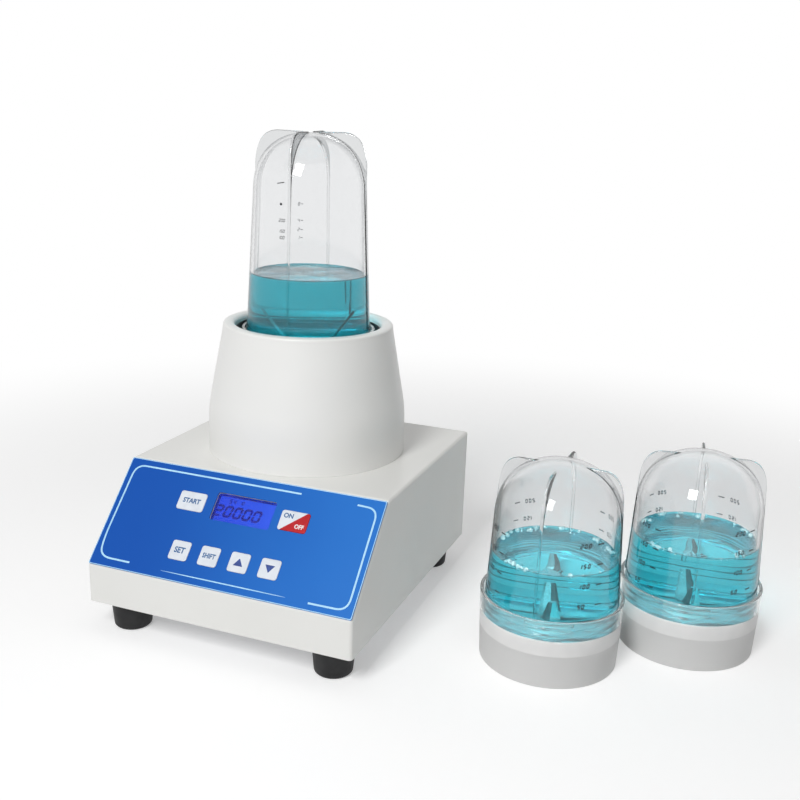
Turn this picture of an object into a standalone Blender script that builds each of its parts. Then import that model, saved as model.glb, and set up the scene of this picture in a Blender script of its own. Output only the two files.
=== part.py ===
"""Laboratory homogenizer: a bench drive with a sloped key panel, its tall cup, and spare cups."""

import math

import bmesh
import bpy
from mathutils import Matrix, Vector

MM = 0.001

# The frame is the middle of the whole set, at bench level: +X to the spare cups, +Y to the back.

# Housing, in the shape of a box with its upper front edge cut to a slope
HOUSING_WIDTH = 200 * MM
HOUSING_DEPTH = 230 * MM
HOUSING_HEIGHT = 89 * MM
FRONT_HEIGHT = 27.5 * MM
SLOPE_RUN = 58 * MM
HOUSING_WALL = 2 * MM
HOUSING_EDGE = 2.5 * MM
CORNER_BLOCK = 30 * MM
CORNER_BLOCK_HEIGHT = 8 * MM
THREAD_DEPTH = 6.5 * MM

# Clearances that the pieces keep to each other
GAP = 0.3 * MM
RUN_GAP = 0.6 * MM
OVERRUN = 1 * MM
SEAM = 0.6 * MM
MERGE = 0.01 * MM

# Bottom plate and its cooling slots
PLATE_THICKNESS = 2 * MM
PLATE_RECESS = 2 * MM
SLOT_LENGTH = 46 * MM
SLOT_WIDTH = 4 * MM
SLOT_PITCH = 11 * MM
SLOT_COUNT = 5

# Rubber feet
FOOT_HEIGHT = 22 * MM
FOOT_BOTTOM_RADIUS = 13.1 * MM
FOOT_TOP_RADIUS = 15.2 * MM
FOOT_EDGE = 1.5 * MM
FOOT_INSET_X = 21.5 * MM
FOOT_INSET_Y = 20.5 * MM
FOOT_HEAD_DEPTH = 4.5 * MM

# Screws, one size for the feet and one for the collar
FOOT_SCREW_RADIUS = 2 * MM
FOOT_SCREW_HEAD = 4.2 * MM
COLLAR_SCREW_RADIUS = 1.8 * MM
COLLAR_SCREW_HEAD = 3.5 * MM
SCREW_HEAD_HEIGHT = 2.4 * MM
COLLAR_SCREW_REACH = 10 * MM

# Motor collar, the tower that holds the cup
COLLAR_SETBACK = 138.4 * MM
COLLAR_WAIST = 32 * MM
COLLAR_FLARE = 11.1 * MM
COLLAR_RIM_WIDTH = 9 * MM
COLLAR_SHOULDER = 92.5 * MM
COLLAR_HEIGHT = 96.2 * MM
COLLAR_CUP_ROOM = 4.3 * MM
COLLAR_WALL = 2.5 * MM
COLLAR_LIP_DEPTH = 9 * MM
COLLAR_LEDGE_WIDTH = 9 * MM
COLLAR_LEDGE = 3 * MM
COLLAR_BOSS_RADIUS = 5 * MM
COLLAR_BOSS_HEIGHT = 14 * MM
COLLAR_OPENING_MARGIN = 8.5 * MM

# Cup seat, the dark liner inside the collar
SEAT_BASE = 133 * MM
SEAT_THICKNESS = 2.7 * MM
SEAT_WALL = 2.2 * MM
SEAT_HOLE_RADIUS = 14.5 * MM
SEAT_RIM_DROP = 1.2 * MM

# Panel: the printed overlay, the display and the keys. Heights here are above the sloped face.
OVERLAY_MARGIN = 1.4 * MM
OVERLAY_THICKNESS = 0.8 * MM
OVERLAY_CORNER = 1.2 * MM
KEY_PROUD = 0.5 * MM
KEY_TRAVEL = 0.5 * MM
KEY_CORNER = 1.8 * MM
KEY_FLANGE = 1.2 * MM
KEY_FLANGE_THICKNESS = 1.2 * MM
KEY_STEM_RADIUS = 2.5 * MM
KEY_STEM = 1 * MM
SMALL_KEY = (14.4 * MM, 13.8 * MM)
START_KEY = (20.8 * MM, 13.8 * MM)
STOP_KEY = (21 * MM, 14.4 * MM)
SMALL_KEY_LEVEL = 22.3 * MM
SMALL_KEY_PITCH = 22.8 * MM
SMALL_KEY_MIDDLE = -0.5 * MM
START_KEY_PLACE = (-40 * MM, 58.2 * MM)
STOP_KEY_PLACE = (39.3 * MM, 57.4 * MM)
DISPLAY_SIZE = (45.4 * MM, 20.4 * MM)
DISPLAY_PLACE = (0.2 * MM, 58.4 * MM)
DISPLAY_CORNER = 0.8 * MM
WINDOW_THICKNESS = 1.4 * MM
MODULE_BORDER = 4 * MM
MODULE_THICKNESS = 4.5 * MM
BOARD_SIDE_ROOM = 32 * MM
BOARD_LENGTH = 66 * MM
BOARD_MIDDLE = 40 * MM
BOARD_THICKNESS = 1.6 * MM
SWITCH_SIZE = 6 * MM
STANDOFF_RADIUS = 3 * MM
STANDOFF_INSET = 5 * MM

# Motor, standing on the bottom plate under the collar
MOTOR_RADIUS = 42 * MM
BRACKET_WALL = 3 * MM
LOWER_BRACKET_HEIGHT = 27.7 * MM
STATOR_HEIGHT = 43.7 * MM
STATOR_BORE = 23.5 * MM
UPPER_BRACKET_HEIGHT = 33.5 * MM
BEARING_RADIUS = 11 * MM
BEARING_HEIGHT = 6 * MM
BEARING_WALL = 3 * MM
WINDING_RADII = (26 * MM, 36 * MM)
WINDING_HEIGHT = 6 * MM
SHAFT_RADIUS = 4 * MM
ARMATURE_RADIUS = 22.5 * MM
ARMATURE_WINDING_RADIUS = 18 * MM
ARMATURE_WINDING = 6.5 * MM
COMMUTATOR_RADIUS = 11 * MM
COMMUTATOR_HEIGHT = 10 * MM
BRUSH_SIZE = (18 * MM, 6 * MM, 5 * MM)
BRUSH_HOLDER_WALL = 1.6 * MM
FAN_RADIUS = 34 * MM
FAN_HUB_RADIUS = 9 * MM
FAN_HEIGHT = 10 * MM
FAN_DISC = 1.5 * MM
FAN_BLADE = 1.6 * MM
FAN_BLADES = 8
BRACKET_WINDOWS = 4
BRACKET_WINDOW_WIDTH = 26 * MM

# Coupling between the motor and a cup's blade: a star that stands in a star socket
STAR_RADIUS = 8.4 * MM
STAR_ROOT_SHARE = 0.72
STAR_POINTS = 6
STAR_HEIGHT = 8.5 * MM
DRIVE_HUB_RADIUS = 11 * MM
DRIVE_HUB_HEIGHT = 11 * MM
SOCKET_RADIUS = 12.5 * MM
SOCKET_HEIGHT = 12.5 * MM
SOCKET_DEPTH = 9.5 * MM
SOCKET_RAISE = 5 * MM

# Blade base, the frosted ring that a cup screws into, measured up from its lower rim
BASE_TOP_RADIUS = 49 * MM
BASE_TAPER = 1.9 * MM
BASE_WALL = 2.4 * MM
BASE_FLOOR_LEVEL = 24.5 * MM
BASE_FLOOR = 2.5 * MM
BOSS_RADIUS = 12 * MM
BOSS_DROP = 6.4 * MM
BOSS_RISE = 4 * MM

# Seal ring between the base's floor and a cup's lip
SEAL_THICKNESS = 2 * MM
SEAL_WIDTH = 3.6 * MM

# Cups, with their open end down
CUP_WALL = 2.2 * MM
CUP_SHOULDER = 0.4 * MM
CUP_TAPER_SHARE = 0.048
CUP_NECK_ROOM = 0.8 * MM
CUP_THREAD = 0.9 * MM
CUP_THREAD_PITCH = 5 * MM
CUP_THREADS = 2
CUP_NECK_PLAIN = 5.9 * MM
DOME_HEIGHT = 42.4 * MM
DOME_POWER = 2.3
FIN_PROUD = 0.8 * MM
FIN_RISE = 1.1 * MM
FIN_CORNER = 16 * MM
FIN_THICKNESS = 2 * MM
TALL_CUP_HEIGHT = 187.3 * MM
SHORT_CUP_HEIGHT = 141.3 * MM

# Sample liquid in the cups: its levels, and the free space that it leaves round a blade
TALL_LEVEL = 87.4 * MM
SPARE_LEVELS = (77 * MM, 80 * MM)
BLADE_SPACE = 1.6 * MM

# Blades: two arms swept up and two flat ones, on a hub
BLADE_HUB_RADIUS = 7 * MM
BLADE_HUB = 5 * MM
BLADE_SHAFT_RADIUS = 3.5 * MM
BLADE_THICKNESS = 1.4 * MM
BLADE_ROOT = 10 * MM
BLADE_ROOT_FLAT = 13 * MM
BLADE_STACK_SHARE = 0.4
BLADE_TIP = 2.4 * MM
BEND_RADIUS = 9 * MM
FLAT_ROOM = 12.7 * MM
TALL_SWEEP_ROOM = 16.7 * MM
TALL_SWEEP_RISE = 27 * MM
SHORT_SWEEP_ROOM = 23.7 * MM
SHORT_SWEEP_RISE = 17 * MM

# Where the spare cups stand: the first from the housing, the second from the first
SPARE_SIDE_ROOM = 54.6 * MM
SPARE_SETBACK = -12 * MM
SPARE_ROOM = 8.501 * MM
SPARE_BEARING = math.radians(36.601)
CUP_TURN = math.radians(6)
SPARE_TURNS = (math.radians(-2), math.radians(7.5))
TALL_BLADE_TURN = math.radians(22)
SPARE_BLADE_TURNS = (math.radians(-76), math.radians(-78))

# Mains inlet and speed board
INLET_PLACE = (-58 * MM, 34 * MM)
INLET_SIZE = (27 * MM, 20 * MM)
INLET_DEPTH = 22 * MM
INLET_FLANGE = (48 * MM, 24 * MM, 2 * MM)
INLET_SOCKET = (23 * MM, 16 * MM, 17 * MM)
INLET_PIN = (2 * MM, 4 * MM, 11 * MM)
INLET_PIN_PITCH = 7 * MM
SPEED_BOARD_LENGTH = 110 * MM
SPEED_BOARD_MIDDLE = 10 * MM
SPEED_BOARD_WALL_ROOM = 7 * MM
SPEED_BOARD_MOTOR_ROOM = 11 * MM
SPEED_BOARD_RAISE = 5 * MM
HEAT_SINK_EDGE = 6 * MM
HEAT_SINK = (44 * MM, 24 * MM)
CAPACITOR = (11 * MM, 22 * MM)

# Facets of the round pieces
ROUND_STEPS = 28
COLLAR_STEPS = 36
MOTOR_STEPS = 16
SMALL_STEPS = 16
SCREW_STEPS = 8
CORNER_STEPS = 2
DOME_STEPS = 5

# Levels above the bench and places that the sizes above give
housing_top = FOOT_HEIGHT + HOUSING_HEIGHT
slope_rise = HOUSING_HEIGHT - FRONT_HEIGHT
slope_angle = math.atan2(slope_rise, SLOPE_RUN)
slope_length = math.hypot(slope_rise, SLOPE_RUN)
collar_y = COLLAR_SETBACK - HOUSING_DEPTH / 2
plate_level = FOOT_HEIGHT + PLATE_RECESS
plate_top = plate_level + PLATE_THICKNESS
base_bottom = BASE_TOP_RADIUS - BASE_TAPER
neck_radius = BASE_TOP_RADIUS - BASE_WALL - CUP_THREAD - CUP_NECK_ROOM
shoulder_radius = neck_radius + CUP_SHOULDER
neck_inner = neck_radius - CUP_WALL
flat_reach = neck_inner - FLAT_ROOM
tall_sweep = (neck_inner - TALL_SWEEP_ROOM, TALL_SWEEP_RISE)
short_sweep = (neck_inner - SHORT_SWEEP_ROOM, SHORT_SWEEP_RISE)
spare_reach = 2 * BASE_TOP_RADIUS + SPARE_ROOM
first_spare = Vector((HOUSING_WIDTH / 2 + SPARE_SIDE_ROOM + BASE_TOP_RADIUS, SPARE_SETBACK, 0))
spare_step = spare_reach * Vector((math.cos(SPARE_BEARING), math.sin(SPARE_BEARING), 0))
spare_places = (first_spare, first_spare + spare_step)
collar_mouth = BASE_TOP_RADIUS + COLLAR_CUP_ROOM
collar_top = collar_mouth + COLLAR_RIM_WIDTH
collar_foot = collar_top + COLLAR_FLARE
collar_screw_reach = collar_foot - COLLAR_WALL - COLLAR_BOSS_RADIUS + SEAM
seat_floor = FOOT_HEIGHT + SEAT_BASE
floor_top = BASE_FLOOR_LEVEL + BASE_FLOOR
lip = floor_top + SEAL_THICKNESS + 2 * GAP
neck_top = lip + CUP_NECK_PLAIN + CUP_THREADS * CUP_THREAD_PITCH
base_height = neck_top + CUP_THREAD_PITCH / 2
set_middle = Vector(
    (
        (spare_places[1].x + BASE_TOP_RADIUS - HOUSING_WIDTH / 2) / 2,
        INLET_FLANGE[2] / 2,
        0,
    )
)


# Scene, collections and finishes


def clear_scene():
    for obj in list(bpy.data.objects):
        bpy.data.objects.remove(obj, do_unlink=True)


def new_collection(name):
    collection = bpy.data.collections.new(name)
    bpy.context.scene.collection.children.link(collection)
    return collection


def new_frame(name, parent, place, turn=(0, 0, 0)):
    """An empty that carries the pieces of one sub-assembly."""
    frame = bpy.data.objects.new(name, None)
    parts.objects.link(frame)
    frame.parent = parent
    frame.location = place
    frame.rotation_euler = turn
    return frame


def finish(name, colour, roughness, metallic=0.0, alpha=1.0):
    material = bpy.data.materials.new(name)
    material.use_nodes = True
    shader = material.node_tree.nodes["Principled BSDF"]
    shader.inputs["Base Color"].default_value = (*colour, 1)
    shader.inputs["Roughness"].default_value = roughness
    shader.inputs["Metallic"].default_value = metallic
    shader.inputs["Alpha"].default_value = alpha
    return material


# Ways of making a solid


def add_object(name, mesh, material, frame, place=(0, 0, 0)):
    """Puts a mesh in the parts, or in the cutters where it has no material."""
    obj = bpy.data.objects.new(name, mesh)
    obj.parent = frame
    obj.location = place
    if material is None:
        cutters.objects.link(obj)
        obj.hide_render = True
        obj.display_type = "WIRE"
    else:
        parts.objects.link(obj)
        mesh.materials.append(material)
    return obj


def turned(name, profile, material, frame, place=(0, 0, 0), steps=ROUND_STEPS):
    """A turned piece. Its (radius, height) points run down the outer side and back up the inner one."""
    mesh = bpy.data.meshes.new(name)
    chain = [(i, i + 1) for i in range(len(profile) - 1)]
    if profile[0][0] > 0:
        chain.append((len(profile) - 1, 0))
    mesh.from_pydata([(radius, 0, height) for radius, height in profile], chain, [])
    obj = add_object(name, mesh, material, frame, place)
    screw = obj.modifiers.new("turn", "SCREW")
    screw.steps = steps
    screw.render_steps = steps
    screw.use_merge_vertices = True
    screw.merge_threshold = MERGE
    return obj


def box(name, size, middle, material, frame, place=(0, 0, 0), edge=0.0):
    """A box about its middle, with its edges rounded where edge is given."""
    bm = bmesh.new()
    bmesh.ops.create_cube(bm, size=1, matrix=Matrix.Translation(middle) @ Matrix.Diagonal((*size, 1)))
    mesh = bpy.data.meshes.new(name)
    bm.to_mesh(mesh)
    bm.free()
    obj = add_object(name, mesh, material, frame, place)
    if edge:
        round_edges(obj, edge, 2)
    return obj


def round_edges(obj, width, segments):
    bevel = obj.modifiers.new("edges", "BEVEL")
    bevel.width = width
    bevel.segments = segments
    bevel.limit_method = "ANGLE"
    return bevel


def outlined(name, outline, thickness, material, frame, place=(0, 0, 0), pose=Matrix()):
    """A flat piece cut to an outline in its XY plane, thickness upwards, then set by pose."""
    curve = bpy.data.curves.new(name, "CURVE")
    curve.dimensions = "2D"
    curve.fill_mode = "BOTH"
    curve.extrude = thickness / 2
    spline = curve.splines.new("POLY")
    spline.points.add(len(outline) - 1)
    spline.use_cyclic_u = True
    for point, (x, y) in zip(spline.points, outline):
        point.co = (x, y, 0, 1)
    drawn = bpy.data.objects.new(name + "_outline", curve)
    bpy.context.scene.collection.objects.link(drawn)
    bpy.context.view_layer.update()
    mesh = bpy.data.meshes.new_from_object(drawn.evaluated_get(bpy.context.evaluated_depsgraph_get()))
    bpy.data.objects.remove(drawn, do_unlink=True)
    bm = bmesh.new()
    bm.from_mesh(mesh)
    bmesh.ops.remove_doubles(bm, verts=bm.verts, dist=MERGE)
    bmesh.ops.dissolve_limit(bm, angle_limit=math.radians(1), verts=bm.verts, edges=bm.edges)
    bmesh.ops.transform(bm, matrix=pose @ Matrix.Translation((0, 0, thickness / 2)), verts=bm.verts)
    bmesh.ops.recalc_face_normals(bm, faces=bm.faces)
    bm.to_mesh(mesh)
    bm.free()
    mesh.name = name
    return add_object(name, mesh, material, frame, place)


def combine(obj, tool, operation):
    boolean = obj.modifiers.new(tool.name, "BOOLEAN")
    boolean.operation = operation
    boolean.object = tool


def cut(obj, *tools):
    for tool in tools:
        combine(obj, tool, "DIFFERENCE")


def join(obj, *tools):
    for tool in tools:
        combine(obj, tool, "UNION")


# Outlines and profiles


def rounded_rectangle(width, length, corner, middle=(0, 0)):
    points = []
    for quarter in range(4):
        across = 1 if quarter in (0, 3) else -1
        along = 1 if quarter < 2 else -1
        centre_x = middle[0] + across * (width / 2 - corner)
        centre_y = middle[1] + along * (length / 2 - corner)
        for step in range(CORNER_STEPS + 1):
            angle = math.pi / 2 * (quarter + step / CORNER_STEPS)
            points.append((centre_x + corner * math.cos(angle), centre_y + corner * math.sin(angle)))
    return points


def star(radius):
    """An outline whose points and roots lie on two circles."""
    outline = []
    for i in range(2 * STAR_POINTS):
        reach = radius if i % 2 == 0 else radius * STAR_ROOT_SHARE
        angle = math.pi * i / STAR_POINTS
        outline.append((reach * math.cos(angle), reach * math.sin(angle)))
    return outline


def cylinder_profile(radius, low, high):
    return [(0, high), (radius, high), (radius, low), (0, low)]


def ring_profile(outer, inner, low, high):
    return [(outer, high), (outer, low), (inner, low), (inner, high)]


def dome(radius, height, top, steps):
    """A quarter of a slightly square ellipse, from its top on the axis to its foot at the radius."""
    points = []
    for step in range(steps + 1):
        angle = math.pi / 2 * step / steps
        out = abs(math.sin(angle)) ** (2 / DOME_POWER)
        up = abs(math.cos(angle)) ** (2 / DOME_POWER) if step < steps else 0
        points.append((radius * out, top - height + height * up))
    return points


def cup_radius(level):
    """Outer radius of a cup's tapered body at a level above the rim of its base."""
    return shoulder_radius - CUP_TAPER_SHARE * (level - base_height)


# Housing, bottom plate and feet


def foot_places():
    across = HOUSING_WIDTH / 2 - FOOT_INSET_X
    along = HOUSING_DEPTH / 2 - FOOT_INSET_Y
    return {
        "front_left": (-across, -along),
        "front_right": (across, -along),
        "rear_left": (-across, along),
        "rear_right": (across, along),
    }


def collar_screw_places():
    """Middles of the screws that hold the collar, on its diagonals."""
    places = {}
    for i, name in enumerate(("rear_right", "rear_left", "front_left", "front_right")):
        angle = math.pi / 4 + i * math.pi / 2
        across, along = collar_screw_reach * math.cos(angle), collar_screw_reach * math.sin(angle)
        places[name] = (across, collar_y + along)
    return places


def make_housing():
    """Steel shell, open below, with blocks in its lower corners for the foot screws."""
    front, back = -HOUSING_DEPTH / 2, HOUSING_DEPTH / 2
    side = [
        (front, FOOT_HEIGHT),
        (back, FOOT_HEIGHT),
        (back, housing_top),
        (front + SLOPE_RUN, housing_top),
        (front, FOOT_HEIGHT + FRONT_HEIGHT),
    ]
    upright = Matrix(((0, 0, 1, -HOUSING_WIDTH / 2), (1, 0, 0, 0), (0, 1, 0, 0), (0, 0, 0, 1)))
    housing = outlined("housing", side, HOUSING_WIDTH, enamel, machine, pose=upright)
    bm = bmesh.new()
    bm.from_mesh(housing.data)
    below = [face for face in bm.faces if all(v.co.z < FOOT_HEIGHT + MERGE for v in face.verts)]
    bmesh.ops.delete(bm, geom=below, context="FACES_ONLY")
    bm.to_mesh(housing.data)
    bm.free()
    round_edges(housing, HOUSING_EDGE, 2)
    shell = housing.modifiers.new("wall", "SOLIDIFY")
    shell.thickness = HOUSING_WALL
    shell.offset = -1
    shell.use_even_offset = True

    block_middle = plate_top + GAP + CORNER_BLOCK_HEIGHT / 2
    for name, (x, y) in foot_places().items():
        corner_x = math.copysign(HOUSING_WIDTH / 2 - HOUSING_WALL + SEAM - CORNER_BLOCK / 2, x)
        corner_y = math.copysign(HOUSING_DEPTH / 2 - HOUSING_WALL + SEAM - CORNER_BLOCK / 2, y)
        size = (CORNER_BLOCK, CORNER_BLOCK, CORNER_BLOCK_HEIGHT)
        join(housing, box("block_" + name, size, (corner_x, corner_y, block_middle), None, machine))
        low = plate_top + GAP
        bore = cylinder_profile(FOOT_SCREW_RADIUS + GAP, low - OVERRUN, low + THREAD_DEPTH)
        cut(housing, turned("thread_" + name, bore, None, machine, (x, y, 0), SCREW_STEPS))

    low, high = housing_top - HOUSING_WALL - OVERRUN, housing_top + OVERRUN
    opening = cylinder_profile(collar_screw_reach - COLLAR_OPENING_MARGIN, low, high)
    cut(housing, turned("collar_opening", opening, None, machine, (0, collar_y, 0)))
    hole = cylinder_profile(COLLAR_SCREW_RADIUS + GAP, low, high)
    for name, (x, y) in collar_screw_places().items():
        cut(housing, turned("collar_hole_" + name, hole, None, machine, (x, y, 0), SCREW_STEPS))
    deep = HOUSING_WALL + 2 * OVERRUN
    low = -HOUSING_WALL - OVERRUN
    for name, (size, place) in panel_holes().items():
        outline = rounded_rectangle(size[0] + 2 * GAP, size[1] + 2 * GAP, KEY_CORNER + GAP)
        cut(housing, outlined("housing_hole_" + name, outline, deep, None, panel, (*place, low)))
    inlet_middle = (INLET_PLACE[0], HOUSING_DEPTH / 2 - HOUSING_WALL / 2, FOOT_HEIGHT + INLET_PLACE[1])
    inlet_cut = (INLET_SIZE[0] + 2 * GAP, deep, INLET_SIZE[1] + 2 * GAP)
    cut(housing, box("inlet_cut", inlet_cut, inlet_middle, None, machine))


def make_bottom_plate():
    """Sheet that closes the housing from below, with cooling slots under the motor."""
    width = HOUSING_WIDTH - 2 * HOUSING_WALL - 2 * GAP
    length = HOUSING_DEPTH - 2 * HOUSING_WALL - 2 * GAP
    middle = (0, 0, plate_level + PLATE_THICKNESS / 2)
    plate = box("bottom_plate", (width, length, PLATE_THICKNESS), middle, zinc, machine)
    low, high = plate_level - OVERRUN, plate_top + OVERRUN
    for name, (x, y) in foot_places().items():
        hole = cylinder_profile(FOOT_SCREW_RADIUS + GAP, low, high)
        cut(plate, turned("plate_hole_" + name, hole, None, machine, (x, y, 0), SCREW_STEPS))
    for i in range(SLOT_COUNT):
        x = (i - (SLOT_COUNT - 1) / 2) * SLOT_PITCH
        size = (SLOT_WIDTH, SLOT_LENGTH, high - low)
        cut(plate, box(f"slot_{i}", size, (x, collar_y, (low + high) / 2), None, machine))


def make_feet():
    """Tapered rubber feet, each with a screw up through it, the plate and the housing's block."""
    top = plate_level - GAP
    bore = FOOT_SCREW_RADIUS + GAP
    recess = FOOT_SCREW_HEAD + GAP
    head_low = FOOT_HEAD_DEPTH
    head_high = FOOT_HEAD_DEPTH + SCREW_HEAD_HEIGHT
    ceiling = head_high + GAP
    end = plate_top + GAP + THREAD_DEPTH - GAP
    foot = [
        (FOOT_TOP_RADIUS, top),
        (FOOT_BOTTOM_RADIUS, FOOT_EDGE),
        (FOOT_BOTTOM_RADIUS - FOOT_EDGE, 0),
        (recess, 0),
        (recess, ceiling),
        (bore, ceiling),
        (bore, top),
    ]
    screw = [
        (0, end),
        (FOOT_SCREW_RADIUS, end),
        (FOOT_SCREW_RADIUS, head_high),
        (FOOT_SCREW_HEAD, head_high),
        (FOOT_SCREW_HEAD, head_low),
        (0, head_low),
    ]
    for name, (x, y) in foot_places().items():
        turned("foot_" + name, foot, rubber, machine, (x, y, 0), SMALL_STEPS)
        turned("foot_screw_" + name, screw, steel, machine, (x, y, 0), SCREW_STEPS)


# Collar and cup seat


def collar_outer(height):
    """Outer radius of the collar at a height above the housing."""
    if height <= COLLAR_WAIST:
        return collar_foot
    share = (height - COLLAR_WAIST) / (COLLAR_SHOULDER - COLLAR_WAIST)
    return collar_foot + (collar_top - collar_foot) * share


def make_collar():
    """White tower: a straight foot, a cone and a rolled rim, with a ledge inside for the seat."""
    base = housing_top + GAP
    top = housing_top + COLLAR_HEIGHT
    shoulder = housing_top + COLLAR_SHOULDER
    waist = housing_top + COLLAR_WAIST
    inner_mouth = collar_mouth + COLLAR_WALL
    rim_middle = (collar_top + collar_mouth) / 2
    ledge_top = seat_floor - SEAT_THICKNESS - 2 * GAP
    ledge_low = ledge_top - COLLAR_LEDGE
    ledge_wall = collar_outer(ledge_low - housing_top) - COLLAR_WALL
    over_wall = collar_outer(ledge_top - housing_top) - COLLAR_WALL
    profile = [
        (collar_mouth, top - GAP),
        (collar_mouth + GAP, top),
        (rim_middle, top),
        ((rim_middle + collar_top) / 2, top - (top - shoulder) / 3),
        (collar_top, shoulder),
        (collar_foot, waist),
        (collar_foot, base),
        (collar_foot - COLLAR_WALL, base),
        (collar_foot - COLLAR_WALL, waist),
        (ledge_wall, ledge_low),
        (ledge_wall - COLLAR_LEDGE_WIDTH, ledge_low),
        (ledge_wall - COLLAR_LEDGE_WIDTH, ledge_top),
        (over_wall, ledge_top),
        (inner_mouth + COLLAR_WALL, shoulder - COLLAR_WALL),
        (inner_mouth, shoulder - COLLAR_WALL),
        (inner_mouth, top - COLLAR_LIP_DEPTH),
        (collar_mouth, top - COLLAR_LIP_DEPTH),
    ]
    collar = turned("motor_collar", profile, enamel, machine, (0, collar_y, 0), COLLAR_STEPS)
    end = base + COLLAR_SCREW_REACH
    head_high = housing_top - HOUSING_WALL - GAP
    screw = [
        (0, end - GAP),
        (COLLAR_SCREW_RADIUS, end - GAP),
        (COLLAR_SCREW_RADIUS, head_high),
        (COLLAR_SCREW_HEAD, head_high),
        (COLLAR_SCREW_HEAD, head_high - SCREW_HEAD_HEIGHT),
        (0, head_high - SCREW_HEAD_HEIGHT),
    ]
    for name, (x, y) in collar_screw_places().items():
        boss = cylinder_profile(COLLAR_BOSS_RADIUS, base, base + COLLAR_BOSS_HEIGHT)
        join(collar, turned("collar_boss_" + name, boss, None, machine, (x, y, 0), SCREW_STEPS))
        bore = cylinder_profile(COLLAR_SCREW_RADIUS + GAP, base - OVERRUN, end)
        cut(collar, turned("collar_bore_" + name, bore, None, machine, (x, y, 0), SCREW_STEPS))
        turned("collar_screw_" + name, screw, steel, machine, (x, y, 0), SCREW_STEPS)


def make_seat():
    """Dark liner that a cup's base stands in, hung on the collar's ledge by its flange."""
    floor = seat_floor - GAP
    under = floor - SEAT_THICKNESS
    wall = collar_mouth + COLLAR_WALL - GAP
    flange = collar_outer(floor - housing_top) - COLLAR_WALL - RUN_GAP
    top = housing_top + COLLAR_HEIGHT - COLLAR_LIP_DEPTH - SEAT_RIM_DROP
    profile = [
        (wall, top),
        (wall, floor),
        (flange, floor),
        (flange, under),
        (SEAT_HOLE_RADIUS, under),
        (SEAT_HOLE_RADIUS, floor),
        (wall - SEAT_WALL, floor),
        (wall - SEAT_WALL, top),
    ]
    turned("cup_seat", profile, dark_plastic, machine, (0, collar_y, 0))


# Panel


def small_keys():
    """Names of the four square keys with their places, from left to right."""
    names = ("set_key", "shift_key", "up_key", "down_key")
    middle = (len(names) - 1) / 2
    return {
        name: (SMALL_KEY, (SMALL_KEY_MIDDLE + (i - middle) * SMALL_KEY_PITCH, SMALL_KEY_LEVEL))
        for i, name in enumerate(names)
    }


def all_keys():
    return {
        "start_key": (START_KEY, START_KEY_PLACE),
        "on_off_key": (STOP_KEY, STOP_KEY_PLACE),
        **small_keys(),
    }


def panel_holes():
    return {**all_keys(), "display": (DISPLAY_SIZE, DISPLAY_PLACE)}


def make_overlay():
    """Blue printed sheet over nearly all of the slope, with openings for the keys and the display."""
    width, length = HOUSING_WIDTH - 2 * OVERLAY_MARGIN, slope_length - 2 * OVERLAY_MARGIN
    outline = rounded_rectangle(width, length, OVERLAY_CORNER, (0, slope_length / 2))
    overlay = outlined("panel_overlay", outline, OVERLAY_THICKNESS, overlay_blue, panel, (0, 0, GAP))
    for name, (size, place) in panel_holes().items():
        hole = rounded_rectangle(size[0] + 2 * GAP, size[1] + 2 * GAP, KEY_CORNER + GAP)
        deep = OVERLAY_THICKNESS + 2 * OVERRUN
        cut(overlay, outlined("overlay_hole_" + name, hole, deep, None, panel, (*place, GAP - OVERRUN)))


def make_keys():
    """Push keys: a cap through the overlay and the wall, a flange behind it, and a stem to the switch."""
    top = GAP + OVERLAY_THICKNESS + KEY_PROUD
    flange_top = -HOUSING_WALL - GAP
    flange_low = flange_top - KEY_FLANGE_THICKNESS
    for name, ((width, length), place) in all_keys().items():
        outline = rounded_rectangle(width, length, KEY_CORNER)
        material = key_red if name == "on_off_key" else key_white
        cap = outlined(name, outline, top - flange_low, material, panel, (*place, flange_low))
        outline = rounded_rectangle(width + 2 * KEY_FLANGE, length + 2 * KEY_FLANGE, KEY_CORNER)
        low = (*place, flange_low)
        join(cap, outlined(name + "_flange", outline, KEY_FLANGE_THICKNESS, None, panel, low))
        stem = cylinder_profile(KEY_STEM_RADIUS, flange_low - KEY_STEM, flange_low + SEAM)
        join(cap, turned(name + "_stem", stem, None, panel, (*place, 0), SCREW_STEPS))


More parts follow.
